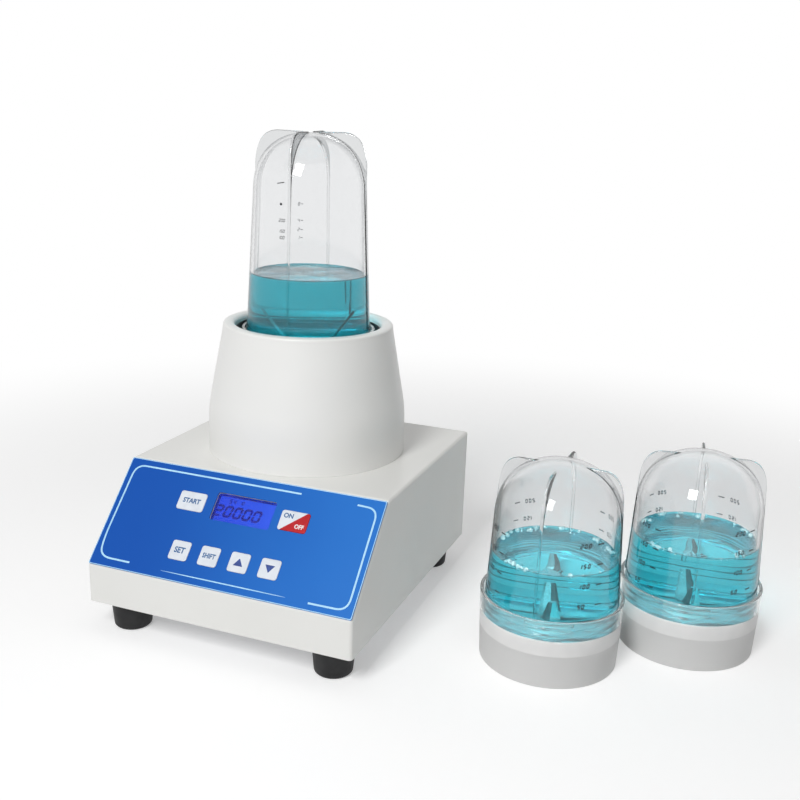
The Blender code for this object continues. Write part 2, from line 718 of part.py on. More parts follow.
def make_display():
    """Clear window in the wall, the display behind it, and the board that carries it and the switches."""
    width, length = DISPLAY_SIZE
    outline = rounded_rectangle(width, length, KEY_CORNER)
    window_place = (*DISPLAY_PLACE, -HOUSING_WALL)
    outlined("display_window", outline, WINDOW_THICKNESS, clear_plastic, panel, window_place)
    outline = rounded_rectangle(width + 2 * MODULE_BORDER, length + 2 * MODULE_BORDER, DISPLAY_CORNER)
    module_low = -HOUSING_WALL - GAP - MODULE_THICKNESS
    module_place = (*DISPLAY_PLACE, module_low)
    outlined("lcd_module", outline, MODULE_THICKNESS, display_blue, panel, module_place)

    board_top = module_low - GAP
    board_low = board_top - BOARD_THICKNESS
    board_width = HOUSING_WIDTH - 2 * BOARD_SIDE_ROOM
    size = (board_width, BOARD_LENGTH, BOARD_THICKNESS)
    middle = (0, BOARD_MIDDLE, board_low + BOARD_THICKNESS / 2)
    board = box("control_board", size, middle, board_green, panel)
    stem_low = -HOUSING_WALL - GAP - KEY_FLANGE_THICKNESS - KEY_STEM
    switch_top = stem_low - KEY_TRAVEL - GAP
    switch_height = switch_top - board_top + SEAM
    for name, (_, (x, y)) in all_keys().items():
        middle = (x, y, board_top - SEAM + switch_height / 2)
        switch = box("switch_" + name, (SWITCH_SIZE, SWITCH_SIZE, switch_height), middle, None, panel)
        join(board, switch)
    for i in range(4):
        x = (board_width / 2 - STANDOFF_INSET) * (1 if i % 2 else -1)
        y = BOARD_MIDDLE + (BOARD_LENGTH / 2 - STANDOFF_INSET) * (1 if i < 2 else -1)
        post = cylinder_profile(STANDOFF_RADIUS, board_top - SEAM, -HOUSING_WALL - GAP)
        join(board, turned(f"standoff_{i}", post, None, panel, (x, y, 0), SCREW_STEPS))


# Motor


lower_bracket_low = plate_top + GAP
lower_bracket_top = lower_bracket_low + LOWER_BRACKET_HEIGHT
stator_low = lower_bracket_top + GAP
stator_top = stator_low + STATOR_HEIGHT
upper_bracket_low = stator_top + GAP
upper_bracket_top = upper_bracket_low + UPPER_BRACKET_HEIGHT
lower_bearing_low = lower_bracket_low + BRACKET_WALL / 2 + GAP
upper_bearing_low = upper_bracket_top - BRACKET_WALL - GAP - BEARING_HEIGHT
commutator_low = lower_bearing_low + BEARING_HEIGHT + 2 * RUN_GAP
drive_low = seat_floor - SEAT_THICKNESS - DRIVE_HUB_HEIGHT / 2
shaft_top = drive_low + DRIVE_HUB_HEIGHT


def bracket_windows(name, low, high, turn):
    """Boxes that cut the cooling windows in a bracket's wall."""
    tools = []
    for i in range(BRACKET_WINDOWS):
        angle = turn + 2 * math.pi * i / BRACKET_WINDOWS
        size = (4 * BRACKET_WALL, BRACKET_WINDOW_WIDTH, high - low)
        middle = (MOTOR_RADIUS - BRACKET_WALL / 2, 0, (low + high) / 2)
        tool = box(f"{name}_{i}", size, middle, None, motor)
        tool.rotation_euler.z = angle
        tools.append(tool)
    return tools


def make_brackets():
    """Two cast brackets that hold the bearings, and the lower one the brushes too."""
    wall = MOTOR_RADIUS - BRACKET_WALL
    pocket = BEARING_RADIUS + GAP
    pocket_wall = pocket + BEARING_WALL
    shaft_hole = SHAFT_RADIUS + GAP
    floor = lower_bracket_low + BRACKET_WALL
    pocket_floor = lower_bearing_low - GAP
    profile = [
        (MOTOR_RADIUS, lower_bracket_top),
        (MOTOR_RADIUS, lower_bracket_low),
        (0, lower_bracket_low),
        (0, pocket_floor),
        (pocket, pocket_floor),
        (pocket, lower_bearing_low + BEARING_HEIGHT),
        (pocket_wall, lower_bearing_low + BEARING_HEIGHT),
        (pocket_wall, floor),
        (wall, floor),
        (wall, lower_bracket_top),
    ]
    lower = turned_open("lower_motor_bracket", profile, cast_metal, motor)
    window_low, window_high = floor + BRACKET_WALL, lower_bracket_top - BRACKET_WALL
    holder_middle = commutator_low + COMMUTATOR_HEIGHT / 2
    length, width, height = BRUSH_SIZE
    for side, sign in (("left", -1), ("right", 1)):
        inner = COMMUTATOR_RADIUS + 3 * RUN_GAP
        outer = MOTOR_RADIUS - SEAM
        holder = 2 * BRUSH_HOLDER_WALL + 2 * GAP
        size = (outer - inner, width + holder, height + holder)
        middle = (sign * (inner + outer) / 2, 0, holder_middle)
        join(lower, box("brush_holder_" + side, size, middle, None, motor))
        channel = (MOTOR_RADIUS - inner + 2 * OVERRUN, width + 2 * GAP, height + 2 * GAP)
        middle = (sign * (inner + MOTOR_RADIUS) / 2, 0, holder_middle)
        cut(lower, box("brush_channel_" + side, channel, middle, None, motor))
        middle = (sign * (COMMUTATOR_RADIUS + GAP + length / 2), 0, holder_middle)
        box("carbon_brush_" + side, BRUSH_SIZE, middle, carbon, motor)
    cut(lower, *bracket_windows("lower_window", window_low, window_high, math.pi / 4))

    ceiling = upper_bracket_top - BRACKET_WALL
    profile = [
        (shaft_hole, upper_bracket_top),
        (MOTOR_RADIUS, upper_bracket_top),
        (MOTOR_RADIUS, upper_bracket_low),
        (wall, upper_bracket_low),
        (wall, ceiling),
        (pocket_wall, ceiling),
        (pocket_wall, upper_bearing_low),
        (pocket, upper_bearing_low),
        (pocket, ceiling),
        (shaft_hole, ceiling),
    ]
    upper = turned("upper_motor_bracket", profile, cast_metal, motor, steps=MOTOR_STEPS)
    window_low, window_high = upper_bracket_low + BRACKET_WALL, ceiling - BRACKET_WALL
    cut(upper, *bracket_windows("upper_window", window_low, window_high, math.pi / 4))


def turned_open(name, profile, material, frame):
    """A turned cup whose profile starts on its outer rim and crosses the axis twice."""
    start = next(i for i, (radius, _) in enumerate(profile) if radius == 0)
    return turned(name, profile[start + 1 :] + profile[: start + 1], material, frame, steps=MOTOR_STEPS)


def make_motor():
    """Series motor: stator and windings, armature with its commutator, bearings and fan."""
    profile = ring_profile(MOTOR_RADIUS, STATOR_BORE, stator_low, stator_top)
    turned("motor_stator", profile, lamination, motor, steps=MOTOR_STEPS)
    inner, outer = WINDING_RADII
    profile = ring_profile(outer, inner, stator_low - GAP - WINDING_HEIGHT, stator_low - GAP)
    turned("lower_field_winding", profile, copper, motor, steps=MOTOR_STEPS)
    profile = ring_profile(outer, inner, stator_top + GAP, stator_top + GAP + WINDING_HEIGHT)
    turned("upper_field_winding", profile, copper, motor, steps=MOTOR_STEPS)
    for name, low in (("lower_bearing", lower_bearing_low), ("upper_bearing", upper_bearing_low)):
        profile = ring_profile(BEARING_RADIUS, SHAFT_RADIUS + GAP, low, low + BEARING_HEIGHT)
        turned(name, profile, steel, motor, steps=MOTOR_STEPS)

    profile = [
        (0, shaft_top),
        (SHAFT_RADIUS, shaft_top),
        (SHAFT_RADIUS, stator_top + ARMATURE_WINDING),
        (ARMATURE_WINDING_RADIUS, stator_top + ARMATURE_WINDING),
        (ARMATURE_WINDING_RADIUS, stator_top),
        (ARMATURE_RADIUS, stator_top),
        (ARMATURE_RADIUS, stator_low),
        (ARMATURE_WINDING_RADIUS, stator_low),
        (ARMATURE_WINDING_RADIUS, stator_low - ARMATURE_WINDING),
        (SHAFT_RADIUS, stator_low - ARMATURE_WINDING),
        (SHAFT_RADIUS, lower_bearing_low),
        (0, lower_bearing_low),
    ]
    turned("armature", profile, copper, motor, steps=MOTOR_STEPS)
    high = commutator_low + COMMUTATOR_HEIGHT
    profile = ring_profile(COMMUTATOR_RADIUS, SHAFT_RADIUS + GAP, commutator_low, high)
    turned("commutator", profile, copper, motor, steps=MOTOR_STEPS)
    make_fan(stator_top + ARMATURE_WINDING + 3 * RUN_GAP)


def make_fan(low):
    """Radial fan: a disc with straight blades that meet its hub."""
    bore = SHAFT_RADIUS + GAP
    profile = [
        (FAN_HUB_RADIUS, low + FAN_HEIGHT),
        (FAN_HUB_RADIUS, low + FAN_DISC),
        (FAN_RADIUS, low + FAN_DISC),
        (FAN_RADIUS, low),
        (bore, low),
        (bore, low + FAN_HEIGHT),
    ]
    fan = turned("cooling_fan", profile, dark_plastic, motor, steps=MOTOR_STEPS)
    inner = FAN_HUB_RADIUS - SEAM
    outer = FAN_RADIUS - FAN_BLADE
    for i in range(FAN_BLADES):
        size = (outer - inner, FAN_BLADE, FAN_HEIGHT - FAN_DISC)
        middle = ((inner + outer) / 2, 0, low + FAN_DISC / 2 + size[2] / 2)
        blade = box(f"fan_blade_{i}", size, middle, None, motor)
        blade.rotation_euler.z = 2 * math.pi * (i + 1 / 2) / FAN_BLADES
        join(fan, blade)


def make_drive_coupling():
    """Hub on the motor's shaft whose star drives the cup."""
    high = drive_low + DRIVE_HUB_HEIGHT
    hub = cylinder_profile(DRIVE_HUB_RADIUS, drive_low, high)
    coupling = turned("drive_coupling", hub, coupling_white, motor, steps=SMALL_STEPS)
    root = (0, 0, high - SEAM)
    join(coupling, outlined("drive_star", star(STAR_RADIUS), STAR_HEIGHT + SEAM, None, motor, root))
    bore = cylinder_profile(SHAFT_RADIUS + GAP, drive_low - OVERRUN, shaft_top + GAP)
    cut(coupling, turned("drive_bore", bore, None, motor, steps=SMALL_STEPS))


# Electrics


def make_inlet():
    """Mains inlet in the back wall: a flanged socket with three pins."""
    x, z = INLET_PLACE[0], FOOT_HEIGHT + INLET_PLACE[1]
    back = HOUSING_DEPTH / 2
    width, height = INLET_SIZE
    flange_width, flange_height, flange = INLET_FLANGE
    body_length = INLET_DEPTH + SEAM + GAP
    middle = (x, back + GAP + SEAM - body_length / 2, z)
    inlet = box("mains_inlet", (width, body_length, height), middle, dark_plastic, machine)
    middle = (x, back + GAP + (flange - GAP) / 2, z)
    join(inlet, box("inlet_flange", (flange_width, flange - GAP, flange_height), middle, None, machine))
    socket_width, socket_height, socket_depth = INLET_SOCKET
    mouth = back + flange
    deep = socket_depth + OVERRUN
    middle = (x, mouth + OVERRUN - deep / 2, z)
    cut(inlet, box("inlet_socket", (socket_width, deep, socket_height), middle, None, machine))
    pin_width, pin_height, pin_length = INLET_PIN
    size = (pin_width, pin_length + SEAM, pin_height)
    for i in (-1, 0, 1):
        raised = pin_height / 2 if i == 0 else 0
        middle = (x + i * INLET_PIN_PITCH, mouth - socket_depth - SEAM + size[1] / 2, z + raised)
        join(inlet, box(f"inlet_pin_{i + 1}", size, middle, None, machine))


def make_speed_board():
    """Board with the motor's speed circuit, on posts above the bottom plate."""
    right = HOUSING_WIDTH / 2 - HOUSING_WALL - SPEED_BOARD_WALL_ROOM
    left = MOTOR_RADIUS + SPEED_BOARD_MOTOR_ROOM
    width, length = right - left, SPEED_BOARD_LENGTH
    x, y = (left + right) / 2, SPEED_BOARD_MIDDLE
    low = plate_top + SPEED_BOARD_RAISE
    high = low + BOARD_THICKNESS
    middle = (x, y, low + BOARD_THICKNESS / 2)
    board = box("speed_board", (width, length, BOARD_THICKNESS), middle, board_green, machine)
    sink = (width - 2 * HEAT_SINK_EDGE, *HEAT_SINK)
    middle = (x, y + length / 4, high - SEAM + sink[2] / 2)
    join(board, box("heat_sink", sink, middle, None, machine))
    radius, height = CAPACITOR
    profile = cylinder_profile(radius, high - SEAM, high + height)
    join(board, turned("capacitor", profile, None, machine, (x, y - length / 4, 0), SMALL_STEPS))
    for i in range(4):
        post_x = x + (width / 2 - STANDOFF_INSET) * (1 if i % 2 else -1)
        post_y = y + (length / 2 - STANDOFF_INSET) * (1 if i < 2 else -1)
        post = cylinder_profile(STANDOFF_RADIUS, plate_top + GAP, low + SEAM)
        join(board, turned(f"speed_post_{i}", post, None, machine, (post_x, post_y, 0), SCREW_STEPS))


# Cups with their bases and blades. Heights are above the lower rim of the base.


hub_low = floor_top + BOSS_RISE + RUN_GAP
hub_high = hub_low + BLADE_HUB
arm_level = hub_low + BLADE_HUB / 2
ring_inner = BASE_TOP_RADIUS - BASE_WALL


def make_base(name, frame):
    """Frosted base: a skirt round the coupling, a floor with a bearing boss, and a ring above."""
    rise_share = BASE_FLOOR_LEVEL / base_height
    floor_radius = base_bottom + (BASE_TOP_RADIUS - base_bottom) * rise_share
    bore = BLADE_SHAFT_RADIUS + GAP
    profile = [
        (BASE_TOP_RADIUS, base_height),
        (base_bottom, 0),
        (base_bottom - BASE_WALL, 0),
        (floor_radius - BASE_WALL, BASE_FLOOR_LEVEL),
        (BOSS_RADIUS, BASE_FLOOR_LEVEL),
        (BOSS_RADIUS, BASE_FLOOR_LEVEL - BOSS_DROP),
        (bore, BASE_FLOOR_LEVEL - BOSS_DROP),
        (bore, floor_top + BOSS_RISE),
        (BOSS_RADIUS, floor_top + BOSS_RISE),
        (BOSS_RADIUS, floor_top),
        (ring_inner, floor_top),
        (ring_inner, base_height),
    ]
    turned(name, profile, frosted, frame)


def make_seal(name, frame):
    outer = ring_inner - RUN_GAP
    profile = ring_profile(outer, outer - SEAL_WIDTH, floor_top + GAP, floor_top + GAP + SEAL_THICKNESS)
    turned(name, profile, silicone, frame)


def cup_profile(height):
    """A cup's outer side from its dome down its body and threaded neck, then its inner side."""
    foot = height - DOME_HEIGHT
    radius = cup_radius(foot)
    outer = dome(radius, DOME_HEIGHT, height, DOME_STEPS)
    outer.append((shoulder_radius, base_height))
    for i in range(CUP_THREADS):
        root = neck_top - i * CUP_THREAD_PITCH
        outer.append((neck_radius, root))
        outer.append((neck_radius + CUP_THREAD, root - CUP_THREAD_PITCH / 2))
    outer.append((neck_radius, lip + CUP_NECK_PLAIN))
    outer.append((neck_radius, lip))
    inner = dome(radius - CUP_WALL, DOME_HEIGHT - CUP_WALL, height - CUP_WALL, DOME_STEPS - 1)
    inner.append((neck_inner, lip))
    return outer + inner[::-1]


def fin_outline(height):
    """Arch of one pair of fins: outside it runs beside the cup's wall and turns square over the dome."""
    foot = height - DOME_HEIGHT
    low = base_height + FIN_PROUD
    top = height + FIN_RISE
    low_radius = cup_radius(low) + FIN_PROUD
    high_radius = cup_radius(foot) + 2 * FIN_PROUD
    half = [(low_radius, low)]
    for step in range(2 * CORNER_STEPS + 1):
        angle = math.pi / 2 * step / (2 * CORNER_STEPS)
        x = high_radius - FIN_CORNER + FIN_CORNER * math.cos(angle)
        half.append((x, top - FIN_CORNER + FIN_CORNER * math.sin(angle)))
    bury = CUP_WALL / 2
    inside = dome(cup_radius(foot) - bury, DOME_HEIGHT - bury, height - bury, DOME_STEPS)
    inside.append((cup_radius(low) - bury, low))
    inner_half = inside[::-1]
    return half + mirrored(half) + mirrored(inner_half[:-1])[::-1] + inner_half[::-1]


def mirrored(points):
    return [(-x, y) for x, y in reversed(points)]


def make_cup(name, frame, height, turn):
    """Clear cup with four fins, made as two crossed arches joined to its wall."""
    cup = turned(name, cup_profile(height), clear_plastic, frame)
    upright = Matrix.Rotation(math.pi / 2, 4, "X") @ Matrix.Translation((0, 0, -FIN_THICKNESS / 2))
    for i in range(2):
        fins = outlined(f"{name}_fins_{i}", fin_outline(height), FIN_THICKNESS, None, frame, pose=upright)
        fins.rotation_euler.z = turn + i * math.pi / 2
        join(cup, fins)
    return cup


def make_liquid(name, frame, height, level, reach, tip):
    """Sample liquid up to its level, without the room that the blade turns in."""
    foot = height - DOME_HEIGHT
    share = (level - lip) / (foot - lip)
    wet = neck_inner + (cup_radius(foot) - CUP_WALL - neck_inner) * share - GAP
    hollow = reach + BLADE_SPACE
    profile = [
        (0, level),
        (wet, level),
        (neck_inner - GAP, lip),
        (neck_inner - SEAL_WIDTH, lip),
        (neck_inner - SEAL_WIDTH, floor_top + GAP),
        (hollow, floor_top + GAP),
        (hollow, tip + BLADE_SPACE),
        (0, tip + BLADE_SPACE),
    ]
    turned(name, profile, liquid_teal, frame)


def blade_arm(name, frame, start, end, root, tip):
    """A tapered flat arm from one (reach, height) point to another, in the XZ plane."""
    length = math.hypot(end[0] - start[0], end[1] - start[1])
    outline = [(0, -root / 2), (length, -tip / 2), (length, tip / 2), (0, root / 2)]
    rise = math.atan2(end[1] - start[1], end[0] - start[0])
    pose = Matrix.Translation((start[0], 0, start[1])) @ Matrix.Rotation(-rise, 4, "Y")
    pose = pose @ Matrix.Translation((0, 0, -BLADE_THICKNESS / 2))
    return outlined(name, outline, BLADE_THICKNESS, None, frame, pose=pose)


def make_blade(name, frame, sweep, turn):
    """Steel blade on its shaft: two arms bent up and two flat arms across them."""
    shaft_low = SOCKET_RAISE + SOCKET_DEPTH + GAP
    profile = [
        (0, hub_high),
        (BLADE_HUB_RADIUS, hub_high),
        (BLADE_HUB_RADIUS, hub_low),
        (BLADE_SHAFT_RADIUS, hub_low),
        (BLADE_SHAFT_RADIUS, shaft_low),
        (0, shaft_low),
    ]
    blade = turned(name, profile, steel, frame, steps=SMALL_STEPS)
    reach, rise = sweep
    upper = arm_level + BLADE_THICKNESS * BLADE_STACK_SHARE
    lower = arm_level - BLADE_THICKNESS * BLADE_STACK_SHARE
    bars = (
        ("flat", flat_reach, BLADE_ROOT_FLAT, BLADE_TIP * 2, lower, turn + math.pi / 2),
        ("bent", BEND_RADIUS + BLADE_THICKNESS / 2, BLADE_ROOT + SEAM, BLADE_ROOT + SEAM, upper, turn),
    )
    for kind, half, root, tip, level, angle in bars:
        right = [(half, -tip / 2), (half, tip / 2), (0, root / 2)]
        outline = right + [(-x, -y) for x, y in right]
        place = (0, 0, level - BLADE_THICKNESS / 2)
        bar = outlined(f"{name}_{kind}", outline, BLADE_THICKNESS, None, frame, place)
        bar.rotation_euler.z = angle
        join(blade, bar)
    start, end = (BEND_RADIUS, upper), (reach, upper + rise)
    for i in range(2):
        arm = blade_arm(f"{name}_arm_{i}", frame, start, end, BLADE_ROOT, BLADE_TIP)
        arm.rotation_euler.z = turn + i * math.pi
        join(blade, arm)


def make_socket(name, frame):
    """Coupling under the base: a star socket that the motor's star goes up into."""
    high = SOCKET_RAISE + SOCKET_HEIGHT
    profile = cylinder_profile(SOCKET_RADIUS, SOCKET_RAISE, high)
    socket = turned(name, profile, coupling_white, frame, steps=SMALL_STEPS)
    hollow = star(STAR_RADIUS + RUN_GAP)
    deep = SOCKET_DEPTH + OVERRUN
    cut(socket, outlined(name + "_star", hollow, deep, None, frame, (0, 0, SOCKET_RAISE - OVERRUN)))
    bore = cylinder_profile(BLADE_SHAFT_RADIUS + GAP, SOCKET_RAISE, high + OVERRUN)
    cut(socket, turned(name + "_bore", bore, None, frame, steps=SMALL_STEPS))


def make_cup_set(prefix, frame, height, level, sweep, cup_turn, blade_turn):
    make_base(prefix + "_blade_base", frame)
    make_seal(prefix + "_seal_ring", frame)
    make_cup(prefix, frame, height, cup_turn)
    tip = arm_level + sweep[1] + BLADE_THICKNESS
    make_liquid(prefix + "_liquid", frame, height, level, flat_reach, tip)
    make_blade(prefix + "_blade", frame, sweep, blade_turn)
    make_socket(prefix + "_coupling", frame)


clear_scene()
parts = new_collection("laboratory_homogenizer")
cutters = new_collection("cutters")

enamel = finish("white enamel", (0.80, 0.80, 0.76), 0.35)
overlay_blue = finish("blue panel print", (0.015, 0.10, 0.50), 0.4)
key_white = finish("white key", (0.78, 0.82, 0.86), 0.45)
key_red = finish("white and red key", (0.70, 0.05, 0.04), 0.45)
display_blue = finish("lit display", (0.03, 0.06, 0.80), 0.3)
clear_plastic = finish("clear plastic", (0.93, 0.95, 0.95), 0.06, alpha=0.3)
frosted = finish("frosted plastic", (0.82, 0.83, 0.82), 0.4, alpha=0.75)
liquid_teal = finish("teal sample", (0.03, 0.42, 0.50), 0.05, alpha=0.8)
silicone = finish("white silicone", (0.85, 0.85, 0.85), 0.6)
rubber = finish("black rubber", (0.012, 0.012, 0.012), 0.6)
dark_plastic = finish("dark plastic", (0.03, 0.03, 0.035), 0.5)
coupling_white = finish("white nylon", (0.80, 0.80, 0.78), 0.5)
steel = finish("stainless steel", (0.60, 0.60, 0.60), 0.25, 1.0)
zinc = finish("zinc plate", (0.55, 0.56, 0.57), 0.4, 1.0)
cast_metal = finish("cast aluminium", (0.50, 0.50, 0.52), 0.5, 1.0)
lamination = finish("stator steel", (0.25, 0.25, 0.27), 0.5, 1.0)
copper = finish("copper winding", (0.60, 0.28, 0.12), 0.4, 1.0)
carbon = finish("carbon", (0.03, 0.03, 0.03), 0.7)
board_green = finish("circuit board", (0.02, 0.20, 0.06), 0.5)

machine = new_frame("machine_frame", None, -set_middle)
panel = new_frame(
    "panel_frame", machine, (0, -HOUSING_DEPTH / 2, FOOT_HEIGHT + FRONT_HEIGHT), (slope_angle, 0, 0)
)
motor = new_frame("motor_axis", machine, (0, collar_y, 0))
tall_cup = new_frame("tall_cup_axis", machine, (0, collar_y, seat_floor))

make_housing()
make_bottom_plate()
make_feet()
make_collar()
make_seat()
make_overlay()
make_keys()
make_display()
make_brackets()
make_motor()
make_drive_coupling()
make_inlet()
make_speed_board()
make_cup_set("tall_cup", tall_cup, TALL_CUP_HEIGHT, TALL_LEVEL, tall_sweep, CUP_TURN, TALL_BLADE_TURN)
for i, letter in enumerate("ab"):
    prefix = "spare_cup_" + letter
    spare = new_frame(prefix + "_axis", machine, spare_places[i])
    turns = (SPARE_TURNS[i], SPARE_BLADE_TURNS[i])
    make_cup_set(prefix, spare, SHORT_CUP_HEIGHT, SPARE_LEVELS[i], short_sweep, *turns)
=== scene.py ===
import math

import bmesh
import bpy
import numpy as np
from mathutils import Matrix, Vector


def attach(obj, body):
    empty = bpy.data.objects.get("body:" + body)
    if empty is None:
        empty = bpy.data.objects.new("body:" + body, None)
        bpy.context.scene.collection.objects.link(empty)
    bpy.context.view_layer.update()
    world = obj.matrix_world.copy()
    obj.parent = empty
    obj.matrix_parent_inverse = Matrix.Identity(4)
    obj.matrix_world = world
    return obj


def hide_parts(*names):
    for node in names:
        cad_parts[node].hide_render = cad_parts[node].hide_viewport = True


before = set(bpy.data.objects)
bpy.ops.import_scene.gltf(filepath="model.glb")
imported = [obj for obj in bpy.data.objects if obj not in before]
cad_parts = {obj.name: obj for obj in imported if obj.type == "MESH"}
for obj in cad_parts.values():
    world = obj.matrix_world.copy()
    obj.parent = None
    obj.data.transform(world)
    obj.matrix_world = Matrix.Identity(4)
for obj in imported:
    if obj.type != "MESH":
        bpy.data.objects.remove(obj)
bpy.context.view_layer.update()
scene = bpy.context.scene
MM = 0.001


# Camera
# It stands where the photograph was taken: in front of the set, a little to the right and above,
# with a lens of 46.8 mm on 36 mm of film, leaning about two degrees.
YAW, PITCH, ROLL = -0.3598, 0.2748, 0.0371
STANDPOINT = (0.21165, -0.6592, 0.3618)
LENS, FILM = 46.8, 36
ahead = Vector((math.sin(YAW) * math.cos(PITCH), math.cos(YAW) * math.cos(PITCH), -math.sin(PITCH)))
level = Vector((math.cos(YAW), -math.sin(YAW), 0))
upward = level.cross(ahead)
across = level * math.cos(ROLL) + upward * math.sin(ROLL)
above = upward * math.cos(ROLL) - level * math.sin(ROLL)
camera = bpy.data.objects.new("camera", bpy.data.cameras.new("camera"))
camera.data.lens, camera.data.sensor_width, camera.data.clip_start = LENS, FILM, 0.01
camera.matrix_world = Matrix.Translation(STANDPOINT) @ Matrix((across, above, -ahead)).transposed().to_4x4()
scene.collection.objects.link(camera)
scene.camera = camera


# Studio
# White paper all round under soft daylight: a wide lamp from the front and above, and a floor that
# stays white but for the shadow of the set.
class Socket:
    """An output of a node. Python's operators on it add Math nodes."""

    def __init__(self, nodes, link):
        self.nodes, self.link = nodes, link

    def math(self, operation, *values):
        return self.nodes.node("ShaderNodeMath", {"operation": operation}, dict(enumerate(values)))

    def __add__(self, other):
        return self.math("ADD", self, other)

    def __sub__(self, other):
        return self.math("SUBTRACT", self, other)

    def __rsub__(self, other):
        return self.math("SUBTRACT", other, self)

    def __mul__(self, other):
        return self.math("MULTIPLY", self, other)

    def __truediv__(self, other):
        return self.math("DIVIDE", self, other)

    def __rtruediv__(self, other):
        return self.math("DIVIDE", other, self)

    def __gt__(self, other):
        return self.math("GREATER_THAN", self, other)

    __radd__ = __add__
    __rmul__ = __mul__

    def most(self, other):
        return self.math("MAXIMUM", self, other)

    def wave(self):
        return self.math("SINE", self)

    def rise(self, low, high):
        """0 below low and 1 above high, along an S-shaped curve between them."""
        settings = {"interpolation_type": "SMOOTHSTEP"}
        return self.nodes.node("ShaderNodeMapRange", settings, {"Value": self, 1: low, 2: high})


class Nodes:
    """A node tree. One method adds any node: its settings first, then its sockets."""

    def __init__(self, tree):
        self.tree = tree

    def node(self, kind, settings=None, values=None, output=0):
        made = self.tree.nodes.new(kind)
        for name, value in (settings or {}).items():
            if name == "stops":
                while len(made.color_ramp.elements) < len(value):
                    made.color_ramp.elements.new(0.5)
                for stop, (position, colour) in zip(made.color_ramp.elements, value):
                    stop.position, stop.color = position, (*colour, 1)
            else:
                setattr(made, name, value)
        for name, value in (values or {}).items():
            self.feed(made.inputs[name], value)
        return Socket(self, made.outputs[output])

    def feed(self, socket, value):
        if isinstance(value, Socket):
            self.tree.links.new(value.link, socket)
        elif socket.type == "RGBA":
            socket.default_value = (*value, 1)
        else:
            socket.default_value = value

    def seen(self):
        """1 for what the camera sees, straight, mirrored or through glass, and 0 for plain light."""
        rays = ("Is Camera Ray", "Is Glossy Ray", "Is Transmission Ray")
        camera_ray, glossy, through = (self.node("ShaderNodeLightPath", output=ray) for ray in rays)
        return camera_ray.most(glossy).most(through)

    def paper_white(self):
        """Strength of white paper: 1 for what the camera sees, and the daylight's for plain light."""
        return self.seen() * (1 - DAYLIGHT) + DAYLIGHT


DAYLIGHT, FLOOR_GLOW, FLOOR_GREY = 0.34, 0.31, (0.82, 0.82, 0.82)
WHITE = (1, 1, 1)
world = bpy.data.worlds.new("white_paper")
world.use_nodes = True
scene.world = world
sky = Nodes(world.node_tree)
sky.feed(sky.tree.nodes["Background"].inputs["Color"], WHITE)
sky.feed(sky.tree.nodes["Background"].inputs["Strength"], sky.paper_white())
scene.view_settings.view_transform = "Standard"


def lamp(name, place, aim, width, height, watts):
    made = bpy.data.objects.new(name, bpy.data.lights.new(name, "AREA"))
    made.data.shape, made.data.energy = "RECTANGLE", watts
    made.data.size, made.data.size_y = width, height
    made.location = place
    made.rotation_euler = (Vector(aim) - Vector(place)).to_track_quat("-Z", "Y").to_euler()
    scene.collection.objects.link(made)


lamp("key_lamp", place=(-0.18, -1.38, 1.3), aim=(0, 0, 0.1), width=0.5, height=0.7, watts=21)

PAPER_REACH = 6
WHITE_FROM, WHITE_TO = 0.35, 0.9
paper = bpy.data.meshes.new("floor")
corners = [(x * PAPER_REACH, y * PAPER_REACH, 0) for x, y in ((-1, -1), (1, -1), (1, 1), (-1, 1))]
paper.from_pydata(corners, [], [(0, 1, 2, 3)])
floor = bpy.data.objects.new("floor", paper)
scene.collection.objects.link(floor)
floor_finish = bpy.data.materials.new("white_floor")
floor_finish.use_nodes = True
sheet = Nodes(floor_finish.node_tree)
sheet.tree.nodes.remove(sheet.tree.nodes["Principled BSDF"])
place = sheet.node("ShaderNodeTexCoord", output="Object")
distance = sheet.node("ShaderNodeVectorMath", {"operation": "LENGTH"}, {0: place}, "Value")
glow = sheet.node("ShaderNodeEmission", None, {"Color": WHITE, "Strength": sheet.seen() * FLOOR_GLOW})
matt = sheet.node("ShaderNodeBsdfDiffuse", None, {"Color": FLOOR_GREY})
near = sheet.node("ShaderNodeAddShader", None, {0: matt, 1: glow})
far = sheet.node("ShaderNodeEmission", None, {"Color": WHITE, "Strength": sheet.paper_white()})
blend = sheet.node("ShaderNodeMixShader", None, {0: distance.rise(WHITE_FROM, WHITE_TO), 1: near, 2: far})
sheet.feed(sheet.tree.nodes["Material Output"].inputs["Surface"], blend)
floor.data.materials.append(floor_finish)


# Housing
# A box of 2 mm sheet steel, open below, whose upper front edge is folded back as a slope. It is
# pressed with soft edges and powder coated white, which leaves a fine orange peel.
WIDTH, DEPTH = 200 * MM, 230 * MM
FOOT, TOP = 22 * MM, 111 * MM
SLOPE_FOOT, SLOPE_RUN = 49.5 * MM, 58 * MM
WALL, EDGE = 2 * MM, 2.5 * MM
SLOPE_ANGLE = math.atan2(TOP - SLOPE_FOOT, SLOPE_RUN)
MACHINE_PLACE, TOWER_BACK = (-119.05 * MM, -1 * MM), 23.4 * MM
TOWER_HOLE = 57.9 * MM
machine = Matrix.Translation((*MACHINE_PLACE, 0))
panel = machine @ Matrix.Translation((0, -DEPTH / 2, SLOPE_FOOT)) @ Matrix.Rotation(SLOPE_ANGLE, 4, "X")
TOWER = np.array((MACHINE_PLACE[0], MACHINE_PLACE[1] + TOWER_BACK))


